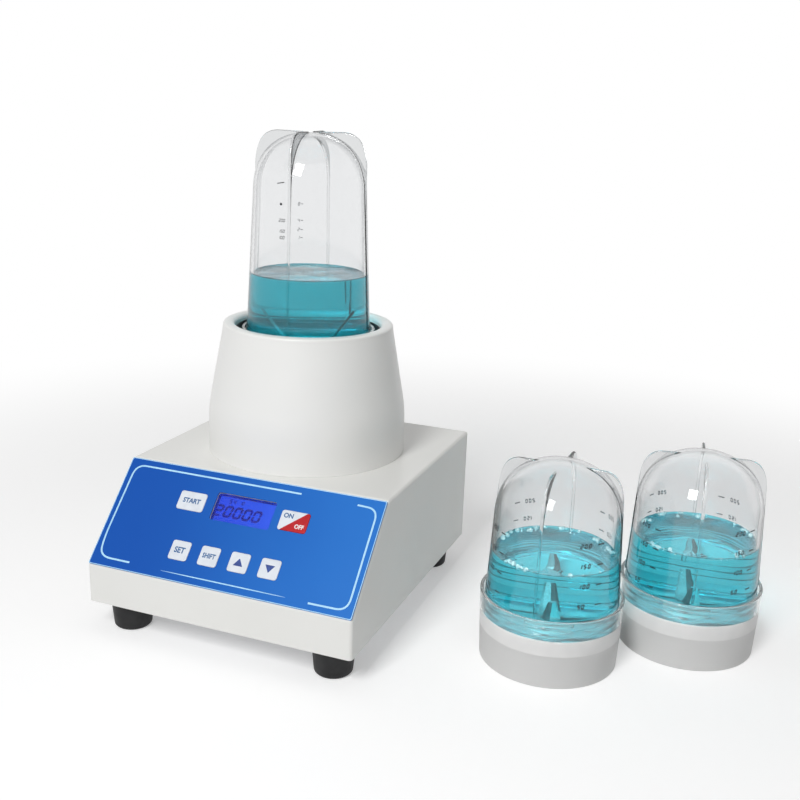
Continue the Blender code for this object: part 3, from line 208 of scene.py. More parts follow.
class Finish(Nodes):
    """A material. Constants are set on its shader, and what varies is linked to it."""

    def __init__(self, name, colour, roughness, **constants):
        self.material = bpy.data.materials.new(name)
        self.material.use_nodes = True
        super().__init__(self.material.node_tree)
        self.shader = self.tree.nodes["Principled BSDF"]
        self.place = self.node("ShaderNodeTexCoord", output="Object")
        self.put("Base Color", colour)
        self.put("Roughness", roughness)
        for key, value in constants.items():
            self.put(key.replace("_", " ").title().replace("Ior", "IOR"), value)

    def put(self, socket, value):
        self.feed(self.shader.inputs[socket], value)

    def noise(self, scale, detail=2.0, stretch=None):
        place = self.place
        if stretch:
            place = self.node("ShaderNodeMapping", None, {"Vector": place, "Scale": stretch})
        return self.node("ShaderNodeTexNoise", None, {"Vector": place, "Scale": scale, "Detail": detail})

    def axis(self, direction):
        """How far a point lies along a direction."""
        settings = {"operation": "DOT_PRODUCT"}
        return self.node("ShaderNodeVectorMath", settings, {0: self.place, 1: tuple(direction)}, "Value")

    def mix(self, share, first, second):
        """Colour that goes from the first to the second as share goes from 0 to 1."""
        return self.node("ShaderNodeMix", {"data_type": "RGBA"}, {0: share, 6: first, 7: second}, 2)

    def bump(self, height, depth):
        self.put("Normal", self.node("ShaderNodeBump", None, {"Height": height, "Distance": depth}))

    def grain(self, scale, detail, depth):
        """A fine uneven surface, as a mould or a coat of powder leaves it."""
        self.bump(self.noise(scale, detail), depth)

    def tone(self, colour, darker, scale, detail=2.0):
        """Colour that drifts to a darker one in soft patches of one over scale metres."""
        patch = self.noise(scale, detail).rise(0.3, 0.75)
        self.put("Base Color", self.mix(patch, colour, darker))

    def gloss(self, low, high, scale):
        """Roughness that wanders between two values, as handling and cleaning leave it."""
        self.put("Roughness", self.noise(scale, 3.0) * (high - low) + low)


def eased(corners, radii, closed=True, steps=6):
    """Outline through the corners, with each corner cut back by its radius along both sides and
    rounded by the parabola (1-t)^2 a + 2t(1-t) corner + t^2 b."""
    corners = np.asarray(corners, float)
    radii = np.broadcast_to(np.asarray(radii, float), len(corners))[:, None]
    before, after = np.roll(corners, 1, 0) - corners, np.roll(corners, -1, 0) - corners
    cut = [np.minimum(radii, np.linalg.norm(side, axis=1, keepdims=True) / 2) for side in (before, after)]
    start, end = (
        corners + length * side / np.maximum(np.linalg.norm(side, axis=1, keepdims=True), 1e-9)
        for length, side in zip(cut, (before, after))
    )
    t = np.linspace(0, 1, steps)[None, :, None]
    rounded = (1 - t) ** 2 * start[:, None] + 2 * t * (1 - t) * corners[:, None] + t**2 * end[:, None]
    if closed:
        return rounded.reshape(-1, 2)
    return np.concatenate((corners[:1], rounded[1:-1].reshape(-1, 2), corners[-1:]))


def skin(name, rows, around=True, caps=(False, False), sharp=35):
    """Mesh over a grid of points: each point joins its neighbours in its row and the next row. A cap
    is one face over the first or last row."""
    count, columns = rows.shape[:2]
    index = np.arange(count * columns).reshape(count, columns)
    beside = np.roll(index, -1, axis=1)
    quads = np.stack((index[:-1], beside[:-1], beside[1:], index[1:]), axis=-1)
    quads = quads if around else quads[:, :-1]
    faces = quads.reshape(-1, 4).tolist()
    faces += [row.tolist() for row, wanted in ((index[0, ::-1], caps[0]), (index[-1], caps[1])) if wanted]
    mesh = bpy.data.meshes.new(name)
    mesh.from_pydata(rows.reshape(-1, 3), [], faces)
    return settle(name, mesh, sharp)


def settle(name, mesh, sharp=35, turn=True):
    """Object of a mesh, with doubles merged, faces outward, and edges past the angle sharp."""
    bm = bmesh.new()
    bm.from_mesh(mesh)
    bmesh.ops.remove_doubles(bm, verts=bm.verts, dist=1e-7)
    bmesh.ops.dissolve_degenerate(bm, edges=bm.edges, dist=1e-8)
    if turn:
        bmesh.ops.recalc_face_normals(bm, faces=bm.faces)
    bm.to_mesh(mesh)
    bm.free()
    mesh.shade_smooth()
    mesh.set_sharp_from_angle(angle=math.radians(sharp))
    piece = bpy.data.objects.get(name) or bpy.data.objects.new(name, mesh)
    piece.data = mesh
    if not piece.users_collection:
        scene.collection.objects.link(piece)
    return piece


def worked_out(piece):
    """Plain mesh of a piece with its modifiers, or of a curve."""
    bpy.context.view_layer.update()
    return bpy.data.meshes.new_from_object(piece.evaluated_get(bpy.context.evaluated_depsgraph_get()))


def flattened(piece, sharp=35):
    """The piece with its modifiers made into plain mesh."""
    mesh = worked_out(piece)
    piece.modifiers.clear()
    return settle(piece.name, mesh, sharp, turn=False)


def carved(piece, tools, operation="DIFFERENCE", sharp=35):
    """The piece with the tools cut out of it or joined to it. The tools are then removed."""
    for tool in tools:
        step = piece.modifiers.new(tool.name, "BOOLEAN")
        step.object, step.operation, step.solver = tool, operation, "EXACT"
    flattened(piece, sharp)
    for tool in tools:
        bpy.data.objects.remove(tool)
    return piece


def read(items, key, width=1, kind=float):
    """One value of each item of a mesh, as an array."""
    values = np.empty(len(items) * width, kind)
    items.foreach_get(key, values)
    return values.reshape(-1, width) if width > 1 else values


def dressed(piece, finish, body, slot, *nodes):
    """Gives a piece its finish, its body and the CAD nodes that it stands for; the slot is not used. Of
    several finishes, each face takes the one that its material index gives."""
    parts = read(piece.data.polygons, "material_index", kind=np.int32)
    piece.data.materials.clear()
    for one in finish if isinstance(finish, tuple) else (finish,):
        piece.data.materials.append(one.material)
    piece.data.polygons.foreach_set("material_index", parts)
    even = piece.modifiers.new("even_shading", "WEIGHTED_NORMAL")
    even.keep_sharp = True
    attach(piece, body)
    if nodes:
        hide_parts(*nodes)
    return piece


def circle(radius, steps=64):
    angle = np.linspace(0, 2 * np.pi, steps, endpoint=False)
    return radius * np.stack((np.cos(angle), np.sin(angle)), axis=1)


def placed(outline, height, matrix):
    """Outline points (x, y) at a height, moved by a matrix."""
    points = np.column_stack((outline, np.full(len(outline), height), np.ones(len(outline))))
    return (points @ np.array(matrix).T)[:, :3]


def prism(name, outline, low, high, matrix, sharp=35):
    rows = np.stack([placed(outline, height, matrix) for height in (low, high)])
    return skin(name, rows, caps=(True, True), sharp=sharp)


def rounded(width, length, radius, middle=(0, 0), steps=6):
    x, y = width / 2, length / 2
    corners = np.array(((-x, -y), (x, -y), (x, y), (-x, y))) + middle
    return eased(corners, radius * 1.15, steps=steps)


def side_outline(inset):
    """Side of the housing from its front lower edge over the slope and the top to its back lower
    edge, drawn in from every bent side by the inset."""
    slope = np.array((SLOPE_RUN, TOP - SLOPE_FOOT))
    inward = np.array((slope[1], -slope[0])) / np.linalg.norm(slope) * inset
    lean = inward[0] - inward[1] * slope[0] / slope[1]
    front, back, top = -DEPTH / 2 + inset, DEPTH / 2 - inset, TOP - inset
    rise = (front - (-DEPTH / 2 + lean)) * slope[1] / slope[0]
    ridge = -DEPTH / 2 + lean + (top - SLOPE_FOOT) * slope[0] / slope[1]
    corners = ((front, FOOT), (front, SLOPE_FOOT + rise), (ridge, top), (back, top), (back, FOOT))
    return eased(corners, np.array((0, 0.45, 0.45, 1.1, 0)) * max(EDGE - inset, 0), closed=False)


turn = np.linspace(0, math.pi / 2, 6)
stations = WIDTH / 2 - EDGE + EDGE * np.sin(turn)
stations = np.concatenate((-stations[::-1], stations))
insets = EDGE * (1 - np.cos(turn))
insets = np.concatenate((insets[::-1], insets))
rows = np.stack([np.insert(side_outline(inset), 0, x, axis=1) for x, inset in zip(stations, insets)])
rows = rows + np.array(machine.translation)
housing = skin("housing_shell", rows, around=False, caps=(True, True))
wall = housing.modifiers.new("sheet", "SOLIDIFY")
wall.thickness, wall.offset, wall.use_even_offset = WALL, -1, True
flattened(housing)

# The middle and size of each key on the slope, in millimetres from the middle of its lower edge.
KEYS = {
    "start": ((-40.0, 58.2), (20.8, 13.8)),
    "on_off": ((39.3, 57.4), (21.0, 14.4)),
    "set": ((-34.7, 22.3), (14.4, 13.8)),
    "shift": ((-11.9, 22.3), (14.4, 13.8)),
    "up": ((10.9, 22.3), (14.4, 13.8)),
    "down": ((33.7, 22.3), (14.4, 13.8)),
}
DISPLAY = ((0.2, 58.4), (45.4, 20.4))
THROUGH = (-4 * MM, 2 * MM)
holes = []
for name, (middle, size) in {**KEYS, "display": DISPLAY}.items():
    outline = rounded(size[0] + 0.6, size[1] + 0.6, 2.1, middle) * MM
    holes.append(prism("hole_" + name, outline, *THROUGH, panel))
tower_top = machine @ Matrix.Translation((0, TOWER_BACK, TOP))
holes.append(prism("hole_tower", circle(TOWER_HOLE, 96), *THROUGH, tower_top))
INLET_PLACE, INLET_HOLE = (-58 * MM, DEPTH / 2, 56 * MM), (27.6 * MM, 20.6 * MM)
inlet_face = machine @ Matrix.Translation(INLET_PLACE) @ Matrix.Rotation(-math.pi / 2, 4, "X")
holes.append(prism("hole_inlet", rounded(*INLET_HOLE, 1 * MM), *THROUGH, inlet_face))
carved(housing, holes)
CORNERS = {"front_left": (-1, -1), "front_right": (1, -1), "rear_left": (-1, 1), "rear_right": (1, 1)}
BLOCK, BLOCK_SPREAD = 30 * MM, np.array((83.6, 98.6)) * MM
FOOT_SPREAD = np.array((78.5, 94.5)) * MM
for corner in CORNERS.values():
    block = rounded(BLOCK, BLOCK, 2 * MM, corner * BLOCK_SPREAD)
    carved(housing, [prism("corner_block", block, 26.3 * MM, 34.3 * MM, machine)], "UNION")
    bore = machine @ Matrix.Translation((*(corner * FOOT_SPREAD), 0))
    carved(housing, [prism("screw_thread", circle(2.3 * MM, 24), 25 * MM, 32.8 * MM, bore)])

enamel = Finish("white_powder_coat", (0.80, 0.80, 0.775), 0.4, coat_weight=0.25, coat_roughness=0.2)
enamel.tone((0.80, 0.80, 0.775), (0.77, 0.77, 0.745), 9)
enamel.gloss(0.34, 0.46, 30)
enamel.grain(620, 3.0, 0.02 * MM)
dressed(housing, enamel, "machine", "enamel", "housing")


# Bottom plate and feet
# A zinc-plated sheet closes the housing from below. Black rubber feet, moulded with a taper and a
# ring at the tread, are held by cross-recessed screws up through the plate.
def about(middle, radius, angle, height):
    """Points at a radius and a bearing from an upright axis: (x + r cos a, y + r sin a, height)."""
    x, y = middle[0] + radius * np.cos(angle), middle[1] + radius * np.sin(angle)
    return np.stack(np.broadcast_arrays(x, y, height), axis=-1)


def turned(name, profile, place, steps=96, closed=True, sharp=35):
    """Surface swept by a profile of (radius, height) points about an upright axis at a place. A
    closed profile ends where it starts."""
    profile = np.asarray(profile, float)
    if closed:
        profile = np.concatenate((profile, profile[:1]))
    angle = np.linspace(0, 2 * np.pi, steps, endpoint=False)
    return skin(name, about(place, profile[:, :1], angle, profile[:, 1:] + place[2]), sharp=sharp)


def cross_recess(screw, length, width, low, high, matrix, middle=(0, 0)):
    """Cuts a cross of two slots into a screw's head."""
    slots = [prism(f"slot_{i}", rounded(*size, 0.1 * MM, middle), low, high, matrix)
             for i, size in enumerate(((length, width), (width, length)))]
    return carved(screw, slots)


rubber = Finish("black_rubber", (0.013, 0.013, 0.014), 0.6, specular_ior_level=0.4)
rubber.tone((0.016, 0.016, 0.017), (0.007, 0.007, 0.008), 60)
rubber.gloss(0.48, 0.7, 120)
rubber.grain(1400, 3.0, 0.03 * MM)
screw_steel = Finish("plated_screw", (0.55, 0.55, 0.56), 0.3, metallic=1.0)
screw_steel.gloss(0.22, 0.42, 400)
screw_steel.grain(1800, 2.0, 0.01 * MM)

foot_profile = eased(
    ((2.3, 23.7), (15.2, 23.7), (15.0, 21.2), (13.1, 1.5), (11.6, 0), (4.5, 0), (4.5, 7.2), (2.3, 7.2)),
    (0.2, 0.5, 0.6, 0.8, 0.8, 0.6, 0.3, 0.2),
)
screw_profile = eased(
    ((0, 32.5), (1.6, 32.5), (2, 32), (2, 6.9), (4.2, 6.9), (4.2, 5.6), (2.6, 4.5), (0, 4.5)),
    (0, 0.2, 0.2, 0.1, 0.2, 0.9, 0.6, 0),
)
for name, corner in CORNERS.items():
    place = (*(MACHINE_PLACE + corner * FOOT_SPREAD), 0)
    foot = turned("rubber_" + name, foot_profile * MM, place, 64)
    dressed(foot, rubber, "machine", "rubber", "foot_" + name)
    screw = turned("pan_screw_" + name, screw_profile * MM, place, 32, closed=False)
    cross_recess(screw, 4.2 * MM, 0.9 * MM, 4 * MM, 5.9 * MM, Matrix.Translation(place))
    dressed(screw, screw_steel, "machine", "steel", "foot_screw_" + name)


# Motor collar
# A round tower moulded in white plastic: a straight foot, a long cone and a rolled rim, with a ledge
# inside that carries the cup seat. Four screws hold it from inside the housing.
collar_profile = eased(
    (
        (53.3, 198.2), (53.3, 207.2), (62.3, 207.2), (62.5, 203.5), (73.4, 143), (73.4, 111.05),
        (70.9, 111.05), (70.9, 143), (68.6, 149.3), (59.6, 149.3), (59.6, 152.3), (67.7, 152.3),
        (58.3, 201), (55.8, 201), (55.8, 198.2),
    ),
    (0.3, 4.5, 4.5, 6, 9, 0.15, 0.2, 6, 0.5, 0.5, 0.5, 0.5, 0.5, 0.3, 0.3),
    steps=8,
)
collar = turned("collar_tower", collar_profile * MM, (*TOWER, 0), 160, sharp=40)
moulded = Finish("white_moulding", (0.84, 0.84, 0.82), 0.36, coat_weight=0.15, coat_roughness=0.25)
moulded.tone((0.84, 0.84, 0.82), (0.815, 0.815, 0.795), 12)
moulded.gloss(0.3, 0.42, 25)
moulded.grain(900, 3.0, 0.012 * MM)
BOSS_RING, BOSS, BORE = 66.5 * MM, 5 * MM, 2.1 * MM
spots = about(TOWER, BOSS_RING, math.pi / 4 + np.arange(4) * math.pi / 2, 0)
spots = [Matrix.Translation(spot) for spot in spots]
bosses = [prism(f"boss_{i}", circle(BOSS, 32), 111.3 * MM, 125.3 * MM, spot) for i, spot in enumerate(spots)]
carved(collar, bosses, "UNION", sharp=40)
bores = [prism(f"bore_{i}", circle(BORE, 20), 110 * MM, 121.3 * MM, spot) for i, spot in enumerate(spots)]
carved(collar, bores, sharp=40)
dressed(collar, moulded, "machine", "enamel", "motor_collar")


# Cup seat
# The dark liner that a cup stands in, moulded with a flange that hangs on the collar's ledge. The
# motor's coupling comes up through the hole in its floor, and a thin lip lines the collar's rim.
seat_profile = eased(
    (
        (55.5, 197), (55.5, 154.7), (66, 154.7), (66, 152), (14.5, 152), (14.5, 154.7), (52.5, 154.7),
        (52.5, 202.4), (53.2, 202.4), (53.2, 197),
    ),
    (0.5, 0.5, 0.6, 0.6, 0.8, 0.8, 1.2, 0.2, 0.2, 0.2),
)
seat = turned("seat_liner", seat_profile * MM, (*TOWER, 0), 128)
liner = Finish("dark_moulding", (0.035, 0.036, 0.04), 0.45)
liner.tone((0.04, 0.041, 0.045), (0.022, 0.023, 0.026), 40)
liner.gloss(0.35, 0.55, 90)
liner.grain(1500, 3.0, 0.02 * MM)
dressed(seat, liner, "machine", "dark_plastic", "cup_seat")


# Panel overlay
# A printed sheet over the slope, deep blue on the left and lighter on the right, with openings for
# the keys and the display. A pale line frames it, open at the upper right, with a rule below.
def flat_piece(name, outlines, low, high, matrix, edge=0.0):
    """Closed plate between two heights over a set of outlines, where one inside another is a hole.
    Its edges are eased by the small radius."""
    curve = bpy.data.curves.new(name, "CURVE")
    curve.dimensions, curve.fill_mode = "2D", "BOTH"
    curve.extrude = (high - low) / 2 - edge
    curve.bevel_depth, curve.bevel_resolution, curve.offset = edge, 1, -edge
    for outline in outlines:
        spline = curve.splines.new("POLY")
        spline.points.add(len(outline) - 1)
        points = np.column_stack((outline, np.zeros(len(outline)), np.ones(len(outline))))
        spline.points.foreach_set("co", points.ravel())
        spline.use_cyclic_u = True
    piece = bpy.data.objects.new(name + "_curve", curve)
    scene.collection.objects.link(piece)
    mesh = worked_out(piece)
    bpy.data.objects.remove(piece)
    mesh.transform(matrix @ Matrix.Translation((0, 0, (low + high) / 2)))
    return settle(name, mesh, 30)


SLOPE_LENGTH = math.hypot(SLOPE_RUN, TOP - SLOPE_FOOT)
SHEET = (198.6 * MM, SLOPE_LENGTH - 2.1 * MM)
SHEET_MIDDLE = (0, SLOPE_LENGTH / 2 - 0.35 * MM)
SHEET_BACK, SHEET_FACE = 0.3 * MM, 1.1 * MM
LINE, THIN_PRINT, PRINT = 1.25 * MM, SHEET_FACE + 0.03 * MM, SHEET_FACE + 0.04 * MM
outlines = [rounded(*SHEET, 1.2 * MM, SHEET_MIDDLE)]
for middle, size in (*KEYS.values(), DISPLAY):
    outlines.append(rounded(size[0] + 0.2, size[1] + 0.2, 1.9, middle) * MM)
overlay = flat_piece("panel_sheet", outlines, SHEET_BACK, SHEET_FACE, panel, 0.12 * MM)
print_blue = Finish("printed_blue", (0.02, 0.10, 0.46), 0.35, specular_ior_level=0.12)
share = (print_blue.axis((1, 0, 0)) + 0.22) / 0.2 + (print_blue.noise(14, 2.0) - 0.5) * 0.25
blue = print_blue.mix(share.rise(0.1, 1.12), (0.008, 0.088, 0.43), (0.022, 0.180, 0.61))
print_blue.put("Base Color", blue)
print_blue.gloss(0.28, 0.42, 45)
print_blue.grain(2600, 2.0, 0.008 * MM)
dressed(overlay, print_blue, "machine", "panel_print", "panel_overlay")


def ribbon(name, path, widths, low, high, matrix):
    """Printed line: a rectangle carried along a path in the panel's plane, as wide at each point as
    the widths say."""
    path = np.asarray(path, float)
    along = np.gradient(path, axis=0)
    along /= np.linalg.norm(along, axis=1, keepdims=True)
    side = np.column_stack((-along[:, 1], along[:, 0])) * np.broadcast_to(widths, len(path))[:, None] / 2
    sides = ((1, low), (1, high), (-1, high), (-1, low))
    edges = [placed(path + sign * side, height, matrix) for sign, height in sides]
    return skin(name, np.stack(edges, axis=1), caps=(True, True), sharp=30)


# The corners of each frame line, and the radii that round them, in millimetres.
FRAME_LINES = {
    "panel_line_upper": (
        ((-68.4, 7.0), (-92.6, 7.0), (-95.2, 20), (-94.1, 77.9), (37.9, 77.7)),
        (0, 9, 12, 8.5, 0),
    ),
    "panel_line_right": (((79.5, 77.0), (94.4, 76.4), (94.9, 5.9), (67.4, 5.7)), (0, 8, 8.5, 0)),
}
pale = Finish("pale_blue_ink", (0.42, 0.72, 0.92), 0.4)
pale.tone((0.45, 0.75, 0.94), (0.36, 0.66, 0.90), 120)
pale.gloss(0.32, 0.5, 200)
for name, (corners, radii) in FRAME_LINES.items():
    path = eased(corners, radii, closed=False, steps=9) * MM
    dressed(ribbon(name, path, LINE, SHEET_FACE, PRINT, panel), pale, "machine", "panel_print")
# Painted highlight: a pale band 1 mm wide runs round the sheet 0.3 mm in from its edge, in the frame's ink,
# where the edge looks bright.
painted_edge_highlight = [rounded(*(size - inset * MM for size in SHEET), 1.1 * MM, SHEET_MIDDLE) for inset in (0.3, 1.3)]
painted_edge_highlight = flat_piece("panel_edge", painted_edge_highlight, SHEET_FACE, THIN_PRINT, panel)
dressed(painted_edge_highlight, pale, "machine", "panel_print")
share = np.linspace(0, 1, 24)
rule = np.column_stack((-43 + 94 * share, np.full(24, 6.2))) * MM
taper = (0.1 + 0.75 * np.sin(np.pi * share) ** 0.7) * MM
dressed(ribbon("panel_rule", rule, taper, SHEET_FACE, PRINT, panel), pale, "machine", "panel_print")


# Display
# A lit liquid-crystal cell behind a clear window that is set 0.6 mm down in its opening. Its five
# slanted seven-segment figures read 20000, with small marks for the mode above them.
def lets_light_through(finish, tint):
    """Glass casts a light shadow of its tint: rays to the lamps pass straight through it."""
    clear = finish.node("ShaderNodeBsdfTransparent", None, {"Color": tint})
    ray = finish.node("ShaderNodeLightPath", output="Is Shadow Ray")
    shader = Socket(finish, finish.shader.outputs["BSDF"])
    both = finish.node("ShaderNodeMixShader", None, {0: ray, 1: shader, 2: clear})
    finish.feed(finish.tree.nodes["Material Output"].inputs["Surface"], both)


lit = Finish("lit_cell", (0.005, 0.012, 0.16), 0.3, emission_strength=0.85, specular_ior_level=0.1)
share = (lit.axis((1, 0, 0)) + 0.119) / 0.024 * 0.5 + 0.35 + lit.noise(90, 2.0) * 0.3
lit.put("Emission Color", lit.mix(share.rise(0.0, 1.2), (0.006, 0.045, 0.47), (0.010, 0.088, 0.53)))
lit.gloss(0.22, 0.4, 60)


def refinished(finish, *nodes):
    """A CAD node keeps its shape and gets a finish."""
    for name in nodes:
        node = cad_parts[name]
        node.data.materials.clear()
        node.data.materials.append(finish.material)


refinished(lit, "lcd_module")
window = prism("display_pane", rounded(*DISPLAY[1], 1.8, DISPLAY[0]) * MM, -2 * MM, -0.6 * MM, panel)
pane = Finish("clear_window", (0.93, 0.95, 1.0), 0.04, transmission_weight=1.0, ior=1.2)
pane.put("Specular IOR Level", 0.2)
pane.gloss(0.02, 0.07, 80)
lets_light_through(pane, (0.9, 0.92, 1.0))
dressed(window, pane, "machine", "clear_plastic", "display_window")

SEGMENTS = {
    "a": ((0, 2), (1, 2)), "b": ((1, 2), (1, 1.05)), "c": ((1, 0.95), (1, 0)), "d": ((1, 0), (0, 0)),
    "e": ((0, 0), (0, 0.95)), "f": ((0, 1.05), (0, 2)), "g": ((0, 1), (1, 1)),
}
FIGURES = {"2": "abged", "0": "abcdef", "5": "afgcd", "1": "bc", "4": "fgbc", "8": "abcdefg"}
SLANT = 0.16
CELL_FACE = -2.28 * MM


def film(name, outlines, low, high, matrix):
    """Print as closed plates over convex outlines, which may overlap: each outline at two heights,
    joined by its sides."""
    points, faces, first = [], [], 0
    for outline in outlines:
        count = len(outline)
        points += [placed(outline, low, matrix), placed(outline, high, matrix)]
        lower = list(range(first, first + count))
        upper = [corner + count for corner in lower]
        faces += [lower[::-1], upper]
        faces += [[lower[i - 1], lower[i], upper[i], upper[i - 1]] for i in range(count)]
        first += 2 * count
    mesh = bpy.data.meshes.new(name)
    mesh.from_pydata(np.concatenate(points), [], faces)
    return settle(name, mesh, 30)


def figure_strokes(text, left, foot, width, height, pitch, weight):
    """Outlines of seven-segment figures, from sizes in millimetres: each stroke is a bar with pointed
    ends, leaned by the slant."""
    strokes = []
    for i, character in enumerate(text):
        for key in FIGURES.get(character, ""):
            a, b = np.array(SEGMENTS[key]) * (width, height / 2)
            along = (b - a) / np.linalg.norm(b - a)
            side = np.array((-along[1], along[0])) * weight / 2
            tip = along * weight / 5
            bar = np.array((a, a + tip + side, b - tip + side, b, b - tip - side, a + tip - side))
            bar[:, 0] += left + i * pitch + bar[:, 1] * SLANT
            bar[:, 1] += foot
            strokes.append(bar * MM)
    return strokes


# Each group's text, left end, foot, width, height, pitch and weight.
DISPLAY_FIGURES = (
    ("20000", -22.2, 53.1, 4.7, 7.2, 7.35, 1.75),
    ("5", -13.6, 62.9, 1.5, 2.8, 2.2, 0.65),
    ("4", -10.6, 62.9, 1.5, 2.8, 2.2, 0.65),
    ("1", -5.6, 63.3, 1.3, 2.2, 2.0, 0.45),
    ("0", -3.8, 63.3, 1.2, 2.2, 2.0, 0.45),
)
digits = [stroke for group in DISPLAY_FIGURES for stroke in figure_strokes(*group)]
figures = film("display_figures", digits, CELL_FACE, CELL_FACE + 0.04 * MM, panel)
ink = Finish("dark_segment", (0.002, 0.004, 0.14), 0.5, specular_ior_level=0.1)
ink.tone((0.003, 0.005, 0.17), (0.001, 0.002, 0.10), 300)
dressed(figures, ink, "machine", "display")
# A dark printed border round the lit field, widened at the top and left as painted shade of the recess over
# the cell.
opening = rounded(43.6, 18.5, 1.0, (DISPLAY[0][0] + 0.25, DISPLAY[0][1] - 0.3)) * MM
border_and_painted_shade = [rounded(45.2, 20.2, 1.7, DISPLAY[0]) * MM, opening]
border_and_painted_shade = flat_piece("display_border", border_and_painted_shade, CELL_FACE, CELL_FACE + 0.03 * MM, panel)
dressed(border_and_painted_shade, ink, "machine", "display")


# Push keys
# Six moulded caps that stand half a millimetre proud of the sheet, each on a flange behind the wall
# and a stem to its switch. The on and off key is red in its lower right half.
KEY_FACE, KEY_CORNER, STEM, INK = 1.6, 1.8, 2.5, 0.04
# How far the cap is wider than the key's size on each side, and at which height over the slope.
FLANGE_TO_CROWN = (
    (1.2, -3.4), (1.2, -2.4), (0, -2.4), (0, 1.15), (-0.15, 1.4), (-0.45, 1.55), (-0.9, KEY_FACE),
)


def key_cap(name, middle, size):
    """Cap lofted through outlines that are drawn in as they go up: stem, flange, neck and crown."""
    angle = np.arctan2(*rounded(*size, KEY_CORNER, steps=7).T[::-1])
    stem = STEM * np.stack((np.cos(angle), np.sin(angle)), axis=1)
    rows = [placed((stem + middle) * MM, height * MM, panel) for height in (-4.5, -3.4)]
    for grown, height in FLANGE_TO_CROWN:
        corner = KEY_CORNER + min(grown, 0)
        outline = rounded(size[0] + 2 * grown, size[1] + 2 * grown, corner, middle, steps=7)
        rows.append(placed(outline * MM, height * MM, panel))
    return skin(name + "_cap", np.stack(rows), caps=(True, True), sharp=30)


key_white = Finish("white_key", (0.73, 0.77, 0.83), 0.42, specular_ior_level=0.3)
key_white.tone((0.75, 0.79, 0.85), (0.68, 0.72, 0.78), 160)
key_white.gloss(0.34, 0.5, 200)
key_white.grain(2200, 2.0, 0.008 * MM)
key_split = Finish("white_and_red_key", (0.73, 0.77, 0.83), 0.42, specular_ior_level=0.2)
middle, size = KEYS["on_off"]
corner = panel @ Vector((middle[0] * MM, middle[1] * MM, 0))
across_split = (panel.to_3x3() @ Vector((size[1] + 1, -size[0] + 3, 0))).normalized()
side = key_split.axis(across_split) - corner.dot(across_split)
patches = key_split.noise(160, 2.0).rise(0.3, 0.75)
white = key_split.mix(patches, (0.75, 0.79, 0.85), (0.68, 0.72, 0.78))
red = key_split.mix(patches, (0.52, 0.016, 0.022), (0.44, 0.010, 0.016))
key_split.put("Base Color", key_split.mix(side > 0, white, red))
key_split.gloss(0.34, 0.5, 200)
for name, (middle, size) in KEYS.items():
    finish, slot = (key_split, "key_red") if name == "on_off" else (key_white, "key_white")
    dressed(key_cap(name, middle, size), finish, name + "_button", slot, name + "_key")


def lettering(word, key, offset, height, stretch, finish):
    """Printed word on a key: plain letters of a cap height as a film, set off from the key's middle,
    and narrowed by the stretch."""
    name = word.lower() + "_word"
    curve = bpy.data.curves.new(name, "FONT")
    curve.body, curve.align_x, curve.align_y = word, "CENTER", "CENTER"
    curve.size, curve.resolution_u, curve.offset = height * MM / 0.7, 3, height * MM * 0.05
    curve.extrude = INK * MM / 2
    words = bpy.data.objects.new(name + "_curve", curve)
    scene.collection.objects.link(words)
    mesh = worked_out(words)
    bpy.data.objects.remove(words)
    place = np.array((*KEYS[key][0], KEY_FACE)) + (*offset, INK / 2)
    mesh.transform(panel @ Matrix.Translation(place * MM) @ Matrix.Diagonal((stretch, 1, 1, 1)))
    dressed(settle(name, mesh, 30), finish, key + "_button", "panel_print")


key_ink = Finish("blue_ink", (0.03, 0.12, 0.30), 0.5)
key_ink.tone((0.04, 0.14, 0.32), (0.02, 0.09, 0.25), 400)
lettering("START", "start", (0, 0), 3.4, 0.95, key_ink)
lettering("SET", "set", (0, 0), 4.0, 0.9, key_ink)
lettering("SHIFT", "shift", (0, 0), 3.3, 0.82, key_ink)
arrow_ink = Finish("arrow_ink", (0.012, 0.05, 0.26), 0.5)
arrow_ink.tone((0.015, 0.06, 0.28), (0.008, 0.035, 0.2), 400)
for name, sign in (("up", 1), ("down", -1)):
    arrow = np.array(((-3.6, -2.5 * sign), (3.6, -2.5 * sign), (0, 2.9 * sign))) + KEYS[name][0]
    arrow = eased(arrow, 0.35) * MM
    arrow = flat_piece(name + "_arrow", [arrow], KEY_FACE * MM, (KEY_FACE + INK) * MM, panel)
    dressed(arrow, arrow_ink, name + "_button", "panel_print")
pale_ink = Finish("pale_ink", (0.85, 0.80, 0.80), 0.5)
pale_ink.tone((0.88, 0.83, 0.83), (0.78, 0.70, 0.70), 400)
lettering("ON", "on_off", (-4.8, 3.2), 3.2, 1.0, key_ink)
lettering("OFF", "on_off", (5.0, -3.4), 3.0, 0.9, pale_ink)


# Motor and electronics
# They are shut in the housing and keep the CAD's shapes: cast brackets round a laminated stator,
# copper windings, the armature with its commutator and brushes, the fan, and two circuit boards.
zinc = Finish("zinc_plate", (0.55, 0.56, 0.58), 0.36, metallic=1.0)
flakes = {"Vector": zinc.place, "Scale": 160}
flakes = zinc.node("ShaderNodeTexVoronoi", {"feature": "F1"}, flakes, "Distance")
zinc.put("Base Color", zinc.mix(flakes, (0.60, 0.61, 0.63), (0.44, 0.45, 0.47)))
zinc.put("Roughness", flakes * 0.25 + 0.25)
zinc.grain(500, 3.0, 0.01 * MM)
cast = Finish("cast_aluminium", (0.50, 0.50, 0.52), 0.5, metallic=1.0)
cast.tone((0.54, 0.54, 0.56), (0.40, 0.40, 0.42), 90)
cast.gloss(0.42, 0.62, 250)
cast.grain(900, 4.0, 0.06 * MM)
lamination = Finish("stator_laminations", (0.25, 0.25, 0.27), 0.5, metallic=1.0)
layers = (lamination.axis((0, 0, 1)) * (2 * math.pi / (0.5 * MM))).wave()
